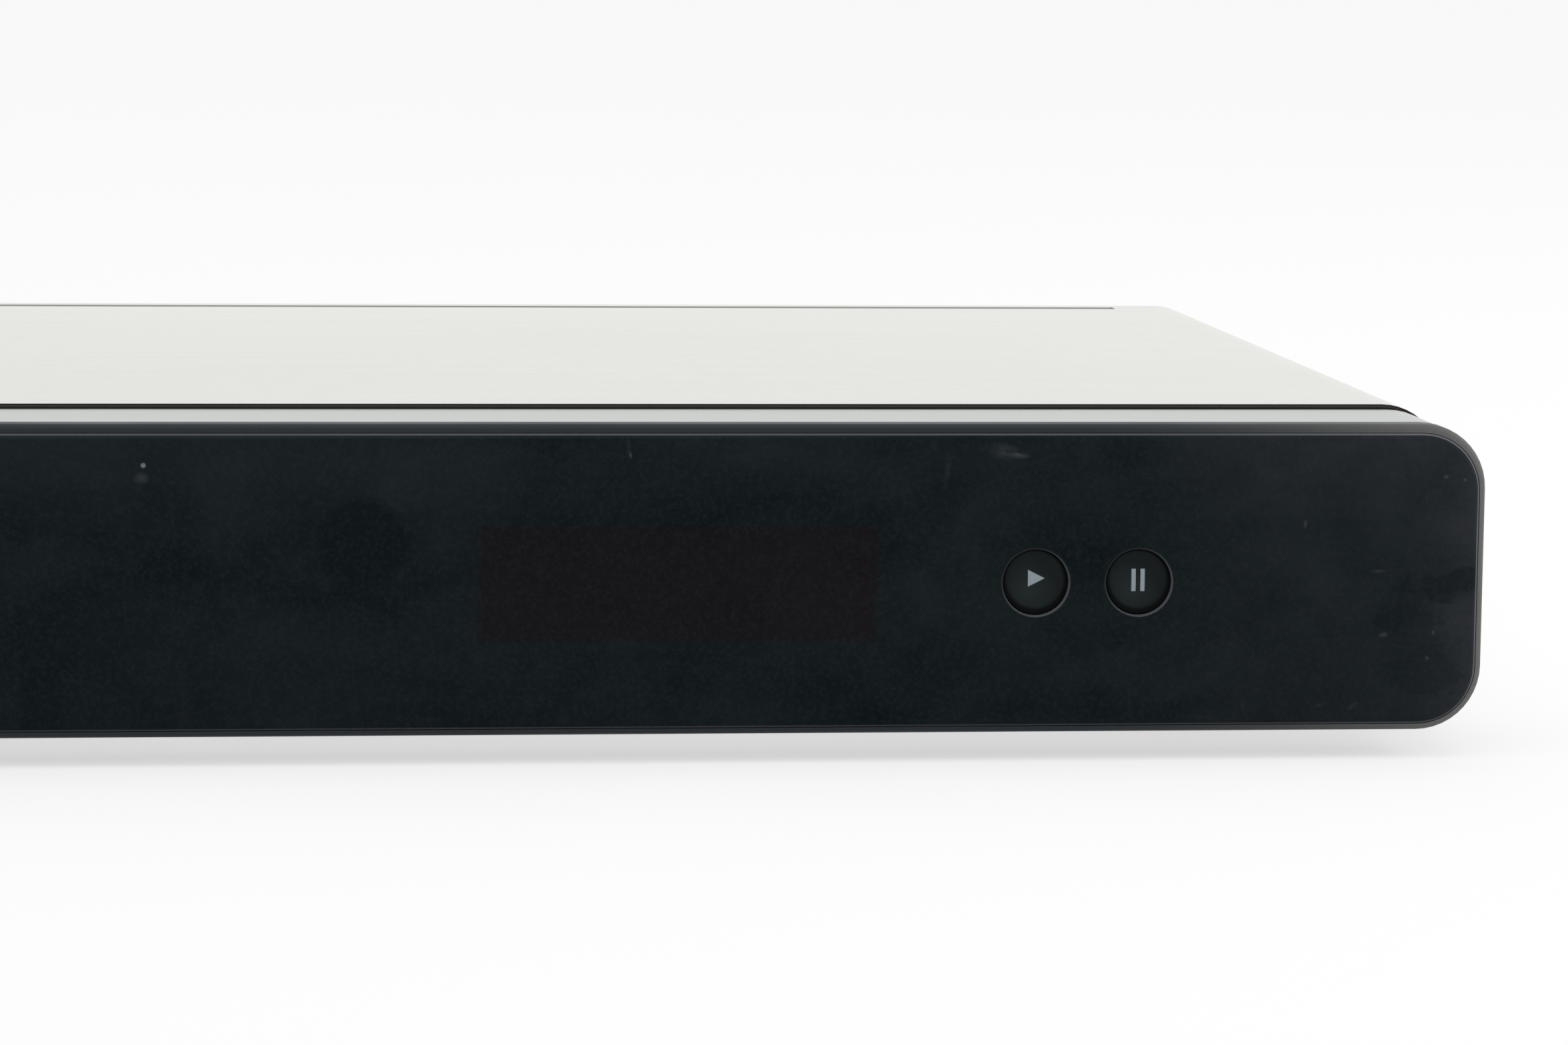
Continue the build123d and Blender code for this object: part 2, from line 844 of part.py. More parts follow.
socket_front_y = panel_face_y + socket_proud
with BuildPart() as hdmi_socket:
    hdmi_z = board_top + hdmi_height / 2
    block(
        (hdmi_x - hdmi_width / 2, hdmi_x + hdmi_width / 2),
        (socket_front_y - hdmi_depth, socket_front_y),
        (board_top, board_top + hdmi_height),
    )
    block(
        (hdmi_x - hdmi_width / 2 + hdmi_wall, hdmi_x + hdmi_width / 2 - hdmi_wall),
        (socket_front_y - hdmi_depth + hdmi_wall, socket_front_y),
        (board_top + hdmi_wall, board_top + hdmi_height - hdmi_wall),
        Mode.SUBTRACT,
    )
    block(
        (hdmi_x - hdmi_tongue / 2, hdmi_x + hdmi_tongue / 2),
        (socket_front_y - hdmi_depth, socket_front_y - hdmi_wall),
        (hdmi_z - hdmi_wall, hdmi_z + hdmi_wall),
    )
save(hdmi_socket.part, "hdmi_socket")

with BuildPart() as lan_socket:
    lan_z = board_top + lan_height / 2
    block(
        (lan_x - lan_width / 2, lan_x + lan_width / 2),
        (socket_front_y - lan_depth, socket_front_y),
        (board_top, board_top + lan_height),
    )
    block(
        (lan_x - lan_port_width / 2, lan_x + lan_port_width / 2),
        (socket_front_y - lan_port_depth, socket_front_y),
        (lan_z - lan_port_height / 2, lan_z + lan_port_height / 2),
        Mode.SUBTRACT,
    )
    block(
        (lan_x - lan_key_width / 2, lan_x + lan_key_width / 2),
        (socket_front_y - lan_port_depth, socket_front_y),
        (lan_z - lan_port_height / 2 - lan_key_height, lan_z),
        Mode.SUBTRACT,
    )
save(lan_socket.part, "lan_socket")

with BuildPart() as mains_inlet:
    block(
        (inlet_x - inlet_width / 2, inlet_x + inlet_width / 2),
        (socket_front_y - inlet_depth, socket_front_y),
        (board_top, board_top + inlet_height),
    )
    with BuildSketch(front_plane(socket_front_y)):
        with Locations((inlet_x, inlet_z)):
            SlotOverall(inlet_port_width, inlet_port_height)
    extrude(amount=inlet_port_depth, mode=Mode.SUBTRACT)
    for side in (-1, 1):
        rod(
            inlet_x + side * inlet_pin_pitch / 2,
            (socket_front_y - inlet_depth, socket_front_y - inlet_port_depth),
            inlet_z,
            inlet_pin_radius,
            Mode.SUBTRACT,
        )
save(mains_inlet.part, "mains_inlet")

with BuildPart() as inlet_pins:
    for side in (-1, 1):
        rod(
            inlet_x + side * inlet_pin_pitch / 2,
            (socket_front_y - inlet_depth, socket_front_y - inlet_pin_recess),
            inlet_z,
            inlet_pin_radius,
        )
save(inlet_pins.part, "inlet_pins")

# Parts on the boards
decoder_x = main_board_left + decoder_inset
decoder_y = main_board_front + decoder_setback
with BuildPart() as board_chips:
    block(
        (decoder_x - decoder_size / 2, decoder_x + decoder_size / 2),
        (decoder_y - decoder_size / 2, decoder_y + decoder_size / 2),
        (board_top, board_top + decoder_height),
    )
    for place in range(memory_count):
        memory_x = decoder_x + decoder_size / 2 + memory_gap
        memory_y = decoder_y + (place - (memory_count - 1) / 2) * memory_pitch
        block(
            (memory_x, memory_x + memory_width),
            (memory_y - memory_length / 2, memory_y + memory_length / 2),
            (board_top, board_top + memory_height),
        )
save(board_chips.part, "board_chips")

sink_bottom = board_top + decoder_height
with BuildPart() as decoder_heatsink:
    sink_x = (decoder_x - decoder_size / 2, decoder_x + decoder_size / 2)
    block(
        sink_x,
        (decoder_y - decoder_size / 2, decoder_y + decoder_size / 2),
        (sink_bottom, sink_bottom + sink_base),
    )
    fin_pitch = (decoder_size - fin_thickness) / (fin_count - 1)
    for place in range(fin_count):
        fin_y = decoder_y - decoder_size / 2 + place * fin_pitch
        block(
            sink_x, (fin_y, fin_y + fin_thickness), (sink_bottom + sink_base, sink_bottom + sink_height)
        )
save(decoder_heatsink.part, "decoder_heatsink")

with BuildPart() as capacitors:
    bulk_x = power_board_left + bulk_inset
    bulk_y = board_back - inlet_depth - bulk_radius - part_margin
    post(bulk_x, bulk_y, (board_top, board_top + bulk_height), bulk_radius)
    for place in range(small_cap_count):
        small_cap_y = main_board_front + small_cap_setback + place * small_cap_pitch
        post(
            main_board_right - small_cap_setback,
            small_cap_y,
            (board_top, board_top + small_cap_height),
            small_cap_radius,
        )
save(capacitors.part, "capacitors")

transformer_x = (power_board_left + power_board_right) / 2
transformer_y = power_board_front + transformer_setback
with BuildPart() as power_transformer:
    block(
        (transformer_x - transformer_width / 2, transformer_x + transformer_width / 2),
        (transformer_y - transformer_core / 2, transformer_y + transformer_core / 2),
        (board_top, board_top + transformer_height),
    )
    block(
        (transformer_x - transformer_winding / 2, transformer_x + transformer_winding / 2),
        (transformer_y - transformer_width / 2, transformer_y + transformer_width / 2),
        (board_top, board_top + transformer_height - part_margin),
    )
save(power_transformer.part, "power_transformer")

with BuildPart() as power_heatsink:
    power_sink_x = power_board_right - board_hole_inset - part_margin - screw_head_radius
    power_sink_front = transformer_y + transformer_width / 2 + part_margin
    power_sink_y = (power_sink_front, power_sink_front + power_sink_length)
    block(
        (power_sink_x - power_sink_foot, power_sink_x),
        power_sink_y,
        (board_top, board_top + power_sink_thickness),
    )
    block(
        (power_sink_x - power_sink_thickness, power_sink_x),
        power_sink_y,
        (board_top, board_top + power_sink_height),
    )
save(power_heatsink.part, "power_heatsink")

# Ribbon from the front board to the main board, between two sockets
ribbon_x = main_board_left + ribbon_inset
ribbon_z = board_top + ribbon_rise
front_socket_back = front_board_back + cable_socket_depth
main_socket_front = main_board_front + part_margin
with BuildPart() as cable_sockets:
    cable_socket_x = (ribbon_x - cable_socket_width / 2, ribbon_x + cable_socket_width / 2)
    block(
        cable_socket_x,
        (front_board_back, front_socket_back),
        (ribbon_z - ribbon_rise / 2, ribbon_z + ribbon_rise / 2),
    )
    block(
        cable_socket_x,
        (main_socket_front, main_socket_front + cable_socket_depth),
        (board_top, ribbon_z + ribbon_rise / 2),
    )
save(cable_sockets.part, "cable_sockets")

with BuildPart() as ribbon_cable:
    block(
        (ribbon_x - ribbon_width / 2, ribbon_x + ribbon_width / 2),
        (front_socket_back, main_socket_front),
        (ribbon_z - ribbon_thickness / 2, ribbon_z + ribbon_thickness / 2),
    )
save(ribbon_cable.part, "ribbon_cable")

# Heights and places of the loader, worked out from the tray
tray_bottom = floor_top + tray_above_floor
tray_top = tray_bottom + tray_rim
tray_back = lid_back + tray_length
disc_y = front_y + disc_setback
loader_floor_top = loader_bottom + loader_floor
loader_top = tray_top + loader_above_tray
loader_inner_half = loader_half - loader_wall
tray_gear_radius = gear_module * tray_gear_teeth / 2
pinion_radius = gear_module * pinion_teeth / 2
gear_top = tray_bottom - gear_below_tray
gear_bottom = gear_top - gear_face
drive_y = loader_front + drive_setback
rack_offset = tray_width / 2 - rack_inset
tray_gear_x = tray_x + rack_offset - tray_gear_radius
pulley_x = tray_gear_x - tray_gear_radius - pinion_radius
drive_motor_x = pulley_x - belt_span
pulley_bottom = gear_bottom - pulley_below_gear
pulley_top = pulley_bottom + pulley_height
drive_motor_top = pulley_bottom - seat_gap
hinge_y = disc_y + hinge_setback
lift_bottom = loader_floor_top + lift_clear
lift_top = lift_bottom + lift_thickness
hinge_z = (lift_bottom + lift_top) / 2
lift_front = disc_y - lift_ahead
lift_back = hinge_y + lift_behind
cam_back = lift_front - cam_gap
cam_front = cam_back - cam_thickness
cam_arm = hinge_y - (cam_front + cam_back) / 2
cam_rise = cam_arm * math.sin(math.radians(lift_angle))
damper_top = lift_top + damper_height
traverse_top = damper_top + traverse_thickness
damper_places = [
    (tray_x + side * (traverse_half_width - damper_radius), y)
    for side in (-1, 1)
    for y in (lift_front + lift_bar / 2, lift_back - lift_bar / 2)
]
rail_z = traverse_top + rail_above_plate
rail_front = disc_y + rail_start
rail_back = rail_front + 2 * (rail_block + seat_gap) + sled_length + sled_travel
sled_front = rail_front + rail_block + seat_gap
sled_bottom = traverse_top + sled_floor_gap
sled_top = sled_bottom + sled_height
screw_rod_x = tray_x + screw_rod_offset
screw_rod_z = traverse_top + screw_rod_radius + screw_rod_clear
spindle_top = traverse_top + spindle_height


def mirrored(low, high, side):
    """The low and high X of a span beside the tray's middle line, on the given side."""
    return sorted((tray_x + side * low, tray_x + side * high))


# Loader frame: the moulded carrier that the tray slides in
with BuildPart() as loader_frame:
    loader_x = (tray_x - loader_half, tray_x + loader_half)
    block(loader_x, (loader_front, loader_back), (loader_bottom, loader_floor_top))
    block(loader_x, (loader_back - loader_wall, loader_back), (loader_bottom, loader_top))
    for side in (-1, 1):
        wall_x = mirrored(loader_inner_half, loader_half, side)
        block(wall_x, (loader_front, loader_back), (loader_bottom, loader_top))
        ledge_top = tray_bottom - rail_gap
        block(
            mirrored(loader_inner_half - ledge_width, loader_inner_half, side),
            (loader_front, loader_back),
            (ledge_top - ledge_height, ledge_top),
        )
        tab_bottom = tray_bottom + tray_lip + rail_gap
        for tab_y in (loader_front, disc_y - tab_length / 2):
            block(
                mirrored(tray_width / 2 - tray_lip_width + slide_gap, loader_inner_half, side),
                (tab_y, tab_y + tab_length),
                (tab_bottom, tab_bottom + tab_height),
            )
    for x, y in loader_ear_places:
        block(
            (x - ear_width / 2, x + ear_width / 2),
            (y - ear_length / 2, y + ear_length / 2),
            (loader_bottom, loader_floor_top),
        )
        post(x, y, (loader_bottom, loader_floor_top), screw_radius + fit_gap, Mode.SUBTRACT)
    block(
        mirrored(-lift_half_width - lift_clear, lift_half_width + lift_clear, 1),
        (lift_front - lift_clear, lift_back + lift_clear),
        (loader_bottom, loader_floor_top),
        Mode.SUBTRACT,
    )
    for side in (-1, 1):
        lug_x = mirrored(lift_half_width + slide_gap, lift_half_width + slide_gap + hinge_lug, side)
        block(
            lug_x,
            (hinge_y - hinge_lug_half, hinge_y + hinge_lug_half),
            (loader_bottom, hinge_z + hinge_lug_half),
        )
        axle(lug_x, hinge_y, hinge_z, hinge_radius + run_gap, Mode.SUBTRACT)
    post(tray_gear_x, drive_y, (loader_floor_top, gear_bottom - rail_gap), gear_shoulder_radius)
    post(tray_gear_x, drive_y, (gear_bottom - rail_gap, gear_top), gear_post_radius)
    post(pulley_x, drive_y, (loader_floor_top, pulley_bottom - rail_gap), gear_shoulder_radius)
    post(pulley_x, drive_y, (pulley_bottom - rail_gap, gear_top), gear_post_radius)
    post(
        drive_motor_x,
        drive_y,
        (loader_floor_top, loader_floor_top + collar_height),
        motor_radius + seat_gap + collar_wall,
    )
    post(
        drive_motor_x,
        drive_y,
        (loader_bottom, loader_floor_top + collar_height),
        motor_radius + seat_gap,
        Mode.SUBTRACT,
    )
    block(
        mirrored(-cam_travel - cam_margin, cam_travel + cam_margin, 1),
        (cam_front - rail_gap - cam_rib, cam_front - rail_gap),
        (loader_floor_top, loader_floor_top + cam_rib_height),
    )
save(loader_frame.part, "loader_frame")

# Clamp: a steel bridge over the disc with the loose magnetic puck hanging in it
with BuildPart() as clamp_bridge:
    bridge_y = (disc_y - bridge_depth / 2, disc_y + bridge_depth / 2)
    skirt_half = loader_half + bridge_thickness
    block(
        (tray_x - skirt_half, tray_x + skirt_half), bridge_y, (loader_top, loader_top + bridge_thickness)
    )
    for side in (-1, 1):
        block(mirrored(loader_half, skirt_half, side), bridge_y, (loader_top - bridge_skirt, loader_top))
    post(
        tray_x,
        disc_y,
        (loader_top, loader_top + bridge_thickness),
        clamp_hole_radius,
        Mode.SUBTRACT,
    )
save(clamp_bridge.part, "clamp_bridge")

with BuildPart() as clamper:
    flange_bottom = loader_top + bridge_thickness + rail_gap
    post(tray_x, disc_y, (flange_bottom, flange_bottom + clamp_flange), clamp_flange_radius)
    post(tray_x, disc_y, (loader_top - clamp_drop, flange_bottom), clamp_hole_radius - slide_gap)
    post(
        tray_x,
        disc_y,
        (loader_top - clamp_drop, loader_top - clamp_drop + hub_height),
        hub_radius + slide_gap,
        Mode.SUBTRACT,
    )
save(clamper.part, "clamper")


def involute(angle):
    """The involute function of an angle in radians."""
    return math.tan(angle) - angle


def gear_outline(x, y, teeth, first_angle):
    """The points round a spur gear with involute flanks, one tooth centred on first_angle."""
    pitch_radius = gear_module * teeth / 2
    base_radius = pitch_radius * math.cos(math.radians(pressure_angle))
    root_radius = pitch_radius - tooth_depth * gear_module
    tip_radius = pitch_radius + tooth_height * gear_module
    flank_start = max(base_radius, root_radius)
    half_tooth = (math.pi * gear_module / 2 - gear_backlash) / 2 / pitch_radius
    half_tooth += involute(math.radians(pressure_angle))
    flank = []
    for step in range(flank_steps + 1):
        radius = flank_start + (tip_radius - flank_start) * step / flank_steps
        flank.append((radius, half_tooth - involute(math.acos(base_radius / radius))))
    half_profile = [(root_radius, flank[0][1])] + flank
    profile = [(radius, -angle) for radius, angle in half_profile] + half_profile[::-1]
    points = []
    for tooth in range(teeth):
        middle = math.radians(first_angle) + 2 * math.pi * tooth / teeth
        for radius, angle in profile:
            points.append((x + radius * math.cos(middle + angle), y + radius * math.sin(middle + angle)))
    return points


# Tray with its rack, and the lid on its front end
with BuildPart() as disc_tray:
    tray_y = (lid_back, tray_back)
    block(mirrored(-tray_width / 2, tray_width / 2, 1), tray_y, (tray_bottom, tray_bottom + tray_lip))
    rim_half = tray_width / 2 - tray_lip_width
    block(mirrored(-rim_half, rim_half, 1), tray_y, (tray_bottom, tray_top))
    recess_floor = tray_top - disc_recess
    post(tray_x, disc_y, (recess_floor, tray_top), disc_recess_radius, Mode.SUBTRACT)
    small_floor = recess_floor - small_disc_recess
    post(tray_x, disc_y, (small_floor, recess_floor), small_disc_radius, Mode.SUBTRACT)
    slot_round_y = disc_y - pickup_slot_ahead + pickup_slot / 2
    post(tray_x, slot_round_y, (tray_bottom, tray_top), pickup_slot / 2, Mode.SUBTRACT)
    block(
        mirrored(-pickup_slot / 2, pickup_slot / 2, 1),
        (slot_round_y, tray_back),
        (tray_bottom, tray_top),
        Mode.SUBTRACT,
    )
    rack_pitch = math.pi * gear_module
    rack_teeth = math.ceil(tray_travel / rack_pitch) + rack_spare_teeth
    rack_start = drive_y - rack_spare_teeth / 2 * rack_pitch
    pitch_x = tray_x + rack_offset
    root_x = pitch_x + tooth_depth * gear_module
    tip_x = pitch_x - tooth_height * gear_module
    half_tooth = (rack_pitch / 2 - gear_backlash) / 2
    slope = math.tan(math.radians(pressure_angle))
    root_half = half_tooth + tooth_depth * gear_module * slope
    tip_half = half_tooth - tooth_height * gear_module * slope
    with BuildSketch(Plane.XY.offset(tray_bottom - rack_height)):
        with BuildLine():
            rack_points = [(root_x + rack_back, rack_start), (root_x, rack_start)]
            for tooth in range(rack_teeth):
                tooth_y = rack_start + (tooth + 0.5) * rack_pitch
                rack_points += [
                    (root_x, tooth_y - root_half),
                    (tip_x, tooth_y - tip_half),
                    (tip_x, tooth_y + tip_half),
                    (root_x, tooth_y + root_half),
                ]
            rack_end = rack_start + rack_teeth * rack_pitch
            rack_points += [(root_x, rack_end), (root_x + rack_back, rack_end)]
            Polyline(*rack_points, close=True)
        make_face()
    extrude(amount=rack_height)
save(disc_tray.part, "disc_tray")

with BuildPart() as tray_lid:
    with BuildSketch(front_plane(front_y)):
        with Locations((tray_x, lid_mid)):
            RectangleRounded(lid_width, lid_height, lid_corner)
    extrude(amount=front_y - lid_back)
    chamfer(tray_lid.faces().sort_by(Axis.Y)[0].edges(), lid_chamfer)
save(tray_lid.part, "tray_lid")

# Tray drive: motor, belt, pulley with its pinion, and the gear that meets the rack
with BuildPart() as tray_gear:
    with BuildSketch(Plane.XY.offset(gear_bottom)):
        with BuildLine():
            Polyline(*gear_outline(tray_gear_x, drive_y, tray_gear_teeth, 0), close=True)
        make_face()
        with Locations((tray_gear_x, drive_y)):
            Circle(gear_post_radius + run_gap, mode=Mode.SUBTRACT)
    extrude(amount=gear_face)
save(tray_gear.part, "tray_gear")


def grooved_pulley(x, y, groove_radius):
    """A flat-bottomed belt pulley: two flanges with a groove between them."""
    rim_radius = groove_radius + pulley_flange
    groove = (
        pulley_bottom + (pulley_height - belt_height) / 2 - fit_gap,
        pulley_top - (pulley_height - belt_height) / 2 + fit_gap,
    )
    post(x, y, (pulley_bottom, groove[0]), rim_radius)
    post(x, y, groove, groove_radius)
    post(x, y, (groove[1], pulley_top), rim_radius)


with BuildPart() as pulley_gear:
    grooved_pulley(pulley_x, drive_y, pulley_groove_radius)
    hub_wall_radius = (gear_post_radius + pinion_radius) / 2
    post(pulley_x, drive_y, (pulley_top, gear_bottom), hub_wall_radius)
    half_pitch_angle = 180 / pinion_teeth
    with BuildSketch(Plane.XY.offset(gear_bottom)):
        with BuildLine():
            Polyline(*gear_outline(pulley_x, drive_y, pinion_teeth, half_pitch_angle), close=True)
        make_face()
    extrude(amount=gear_face)
    post(pulley_x, drive_y, (pulley_bottom, gear_top), gear_post_radius + run_gap, Mode.SUBTRACT)
save(pulley_gear.part, "pulley_gear")

with BuildPart() as motor_pulley:
    grooved_pulley(drive_motor_x, drive_y, motor_groove_radius)
    post(drive_motor_x, drive_y, (drive_motor_top - shaft_depth, pulley_bottom), motor_shaft_radius)
save(motor_pulley.part, "motor_pulley")

with BuildPart() as loading_motor:
    post(drive_motor_x, drive_y, (drive_motor_top - motor_body, drive_motor_top), motor_radius)
    post(
        drive_motor_x,
        drive_y,
        (drive_motor_top - shaft_depth - fit_gap, drive_motor_top),
        motor_shaft_radius + run_gap,
        Mode.SUBTRACT,
    )
save(loading_motor.part, "loading_motor")

belt_bottom = pulley_bottom + (pulley_height - belt_height) / 2
with BuildPart() as drive_belt:
    with BuildSketch(Plane.XY.offset(belt_bottom)):
        with Locations((drive_motor_x, drive_y)):
            Circle(motor_groove_radius + belt_gap + belt_thickness)
        with Locations((pulley_x, drive_y)):
            Circle(pulley_groove_radius + belt_gap + belt_thickness)
        make_hull()
    extrude(amount=belt_height)
    with BuildSketch(Plane.XY.offset(belt_bottom)):
        with Locations((drive_motor_x, drive_y)):
            Circle(motor_groove_radius + belt_gap)
        with Locations((pulley_x, drive_y)):
            Circle(pulley_groove_radius + belt_gap)
        make_hull()
    extrude(amount=belt_height, mode=Mode.SUBTRACT)
save(drive_belt.part, "drive_belt")

# Lift frame, hinged at its back, and the cam that raises its front
with BuildPart() as lift_frame:
    lift_x = mirrored(-lift_half_width, lift_half_width, 1)
    block(lift_x, (lift_front, lift_back), (lift_bottom, lift_top))
    block(
        mirrored(lift_bar - lift_half_width, lift_half_width - lift_bar, 1),
        (lift_front + lift_bar, lift_back - lift_bar),
        (lift_bottom, lift_top),
        Mode.SUBTRACT,
    )
    for side in (-1, 1):
        trunnion = mirrored(
            lift_half_width - lift_bar / 2, lift_half_width + slide_gap + hinge_lug, side
        )
        axle(trunnion, hinge_y, hinge_z, hinge_radius)
    rod(tray_x, (cam_front, lift_front), hinge_z, cam_pin_radius)
save(lift_frame.part, "lift_frame")

with BuildPart() as cam_slider:
    block(
        mirrored(-cam_margin, cam_travel + cam_margin, 1),
        (cam_front, cam_back),
        (loader_floor_top + rail_gap, hinge_z + cam_rise + cam_pin_radius + cam_slot_gap + cam_wall),
    )
    with BuildSketch(front_plane(cam_front)):
        with Locations((tray_x + cam_travel / 2, hinge_z + cam_rise / 2)):
            SlotCenterToCenter(
                math.hypot(cam_travel, cam_rise),
                2 * (cam_pin_radius + cam_slot_gap),
                rotation=math.degrees(math.atan2(cam_rise, cam_travel)),
            )
    extrude(amount=cam_front - cam_back, mode=Mode.SUBTRACT)
save(cam_slider.part, "cam_slider")

with BuildPart() as dampers:
    for x, y in damper_places:
        post(x, y, (lift_top, damper_top), damper_radius)
save(dampers.part, "dampers")

# Traverse plate with the blocks that hold the rails and the bracket of the lead screw
with BuildPart() as traverse_plate:
    block(
        mirrored(-traverse_half_width, traverse_half_width, 1),
        (lift_front, lift_back),
        (damper_top, traverse_top),
    )
    for side in (-1, 1):
        rail_x = tray_x + side * rail_spacing / 2
        for block_y in (rail_front, rail_back - rail_block):
            block(
                (rail_x - rail_block_half, rail_x + rail_block_half),
                (block_y, block_y + rail_block),
                (traverse_top, rail_z + rail_radius + rail_cap),
            )
            rod(rail_x, (block_y, block_y + rail_block), rail_z, rail_radius, Mode.SUBTRACT)
    for block_y in (rail_front, rail_back - rail_block):
        block(
            (screw_rod_x - rail_block_half, screw_rod_x + rail_block_half),
            (block_y, block_y + rail_block),
            (traverse_top, screw_rod_z),
        )
        rod(
            screw_rod_x,
            (block_y, block_y + rail_block),
            screw_rod_z,
            screw_rod_radius + run_gap,
            Mode.SUBTRACT,
        )
    block(
        (screw_rod_x - sled_motor_radius - fit_gap, screw_rod_x + sled_motor_radius + fit_gap),
        (rail_back, rail_back + sled_motor_length + fit_gap),
        (damper_top, traverse_top),
        Mode.SUBTRACT,
    )
save(traverse_plate.part, "traverse_plate")

with BuildPart() as guide_rails:
    for side in (-1, 1):
        rod(tray_x + side * rail_spacing / 2, (rail_front, rail_back), rail_z, rail_radius)
save(guide_rails.part, "guide_rails")

with BuildPart() as spindle_motor:
    post(tray_x, disc_y, (traverse_top, spindle_top), spindle_radius)
    shaft_top = spindle_top + fit_gap + turntable_height - run_gap
    post(tray_x, disc_y, (spindle_top, shaft_top), spindle_shaft_radius)
save(spindle_motor.part, "spindle_motor")

with BuildPart() as turntable:
    turntable_bottom = spindle_top + fit_gap
    turntable_top = turntable_bottom + turntable_height
    post(tray_x, disc_y, (turntable_bottom, turntable_top), turntable_radius)
    post(tray_x, disc_y, (turntable_top, turntable_top + hub_height), hub_radius)
    post(tray_x, disc_y, (turntable_bottom, turntable_top), spindle_shaft_radius + run_gap, Mode.SUBTRACT)
    chamfer(turntable.faces().sort_by(Axis.Z)[-1].edges(), hub_chamfer)
save(turntable.part, "turntable")

# Pickup: the sled on its rails, its lens and the lead screw that drives it
with BuildPart() as pickup_sled:
    block(
        mirrored(-sled_width / 2, sled_width / 2, 1),
        (sled_front, sled_front + sled_length),
        (sled_bottom, sled_top),
    )
    block(
        (tray_x + sled_width / 2, screw_rod_x + rail_block_half),
        (sled_front + (sled_length - sled_nut) / 2, sled_front + (sled_length + sled_nut) / 2),
        (sled_bottom, screw_rod_z),
    )
    sled_y = (sled_front, sled_front + sled_length)
    for side in (-1, 1):
        rod(tray_x + side * rail_spacing / 2, sled_y, rail_z, rail_radius + run_gap, Mode.SUBTRACT)
    rod(screw_rod_x, sled_y, screw_rod_z, screw_rod_radius + run_gap, Mode.SUBTRACT)
save(pickup_sled.part, "pickup_sled")

with BuildPart() as objective_lens:
    post(tray_x, sled_front + lens_setback, (sled_top, sled_top + lens_height), lens_radius)
    fillet(objective_lens.faces().sort_by(Axis.Z)[-1].edges(), lens_height / 2)
save(objective_lens.part, "objective_lens")

with BuildPart() as lead_screw:
    rod(screw_rod_x, (rail_front, rail_back), screw_rod_z, screw_rod_radius)
save(lead_screw.part, "lead_screw")

with BuildPart() as sled_motor:
    rod(screw_rod_x, (rail_back, rail_back + sled_motor_length), screw_rod_z, sled_motor_radius)
save(sled_motor.part, "sled_motor")

# Screws of the case: one pattern of pan-head screw throughout
with BuildPart() as screws:
    for x in lip_screw_places:
        rod(x, (rear_y, rear_y + screw_head_height), lip_screw_z, screw_head_radius)
        rod(x, (rear_y - screw_bite, rear_y), lip_screw_z, screw_radius)
    for x in rear_tab_places:
        rod(x, (panel_face_y, panel_face_y + screw_head_height), rear_tab_z, screw_head_radius)
        rod(x, (panel_face_y - screw_bite, panel_face_y), rear_tab_z, screw_radius)
    for x, z in panel_boss_places + standby_boss_places:
        rod(x, (front_board_back, front_board_back + screw_head_height), z, screw_head_radius)
        rod(x, (front_board_y - screw_bite, front_board_back), z, screw_radius)
    for x, y in foot_places:
        post(x, y, (floor_top, floor_top + screw_head_height), screw_head_radius)
        post(x, y, (pad_height, floor_top), screw_radius)
    for x, y in main_screw_places + power_screw_places:
        upright_screw(x, y, board_top)
    for x, y in loader_ear_places:
        upright_screw(x, y, loader_floor_top)
save(screws.part, "screws")
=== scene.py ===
import math

import bpy
from mathutils import Matrix, Vector


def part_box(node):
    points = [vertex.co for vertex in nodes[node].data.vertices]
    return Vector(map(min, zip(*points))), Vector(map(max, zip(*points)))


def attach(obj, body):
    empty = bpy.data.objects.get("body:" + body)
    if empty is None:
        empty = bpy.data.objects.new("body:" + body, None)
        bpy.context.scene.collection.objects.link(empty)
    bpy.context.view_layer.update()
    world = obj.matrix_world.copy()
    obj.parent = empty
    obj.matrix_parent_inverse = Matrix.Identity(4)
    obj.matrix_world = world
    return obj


# A full-width disc player, dressed for a picture of its front. Lengths are in metres and the
# axes are the frame's own: X to the right, Y to the back, Z up.
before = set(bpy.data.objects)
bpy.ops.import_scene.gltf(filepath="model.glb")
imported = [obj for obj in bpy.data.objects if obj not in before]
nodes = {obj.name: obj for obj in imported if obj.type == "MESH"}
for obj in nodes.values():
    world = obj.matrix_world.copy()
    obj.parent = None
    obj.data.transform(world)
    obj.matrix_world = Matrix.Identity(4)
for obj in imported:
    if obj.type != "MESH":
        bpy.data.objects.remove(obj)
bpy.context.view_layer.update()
scene = bpy.context.scene
MM = 0.001
SOFT = 0.05 * MM  # half the width of a printed edge
NOISE_LOW, NOISE_HIGH = 0.3, 0.7  # nearly all of a noise pattern lies between these
# A Mix node repeats its sockets' names for each data type, so its colour sockets go by number
MIX_A, MIX_B, MIX_RESULT = 6, 7, 2
BLACK = (0.0, 0.0, 0.0)


def mm(*lengths):
    """Millimetres as metres."""
    return [length * MM for length in lengths]


def middle(node):
    """The middle of a node's box."""
    low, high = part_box(node)
    return [(a + b) / 2 for a, b in zip(low, high)]


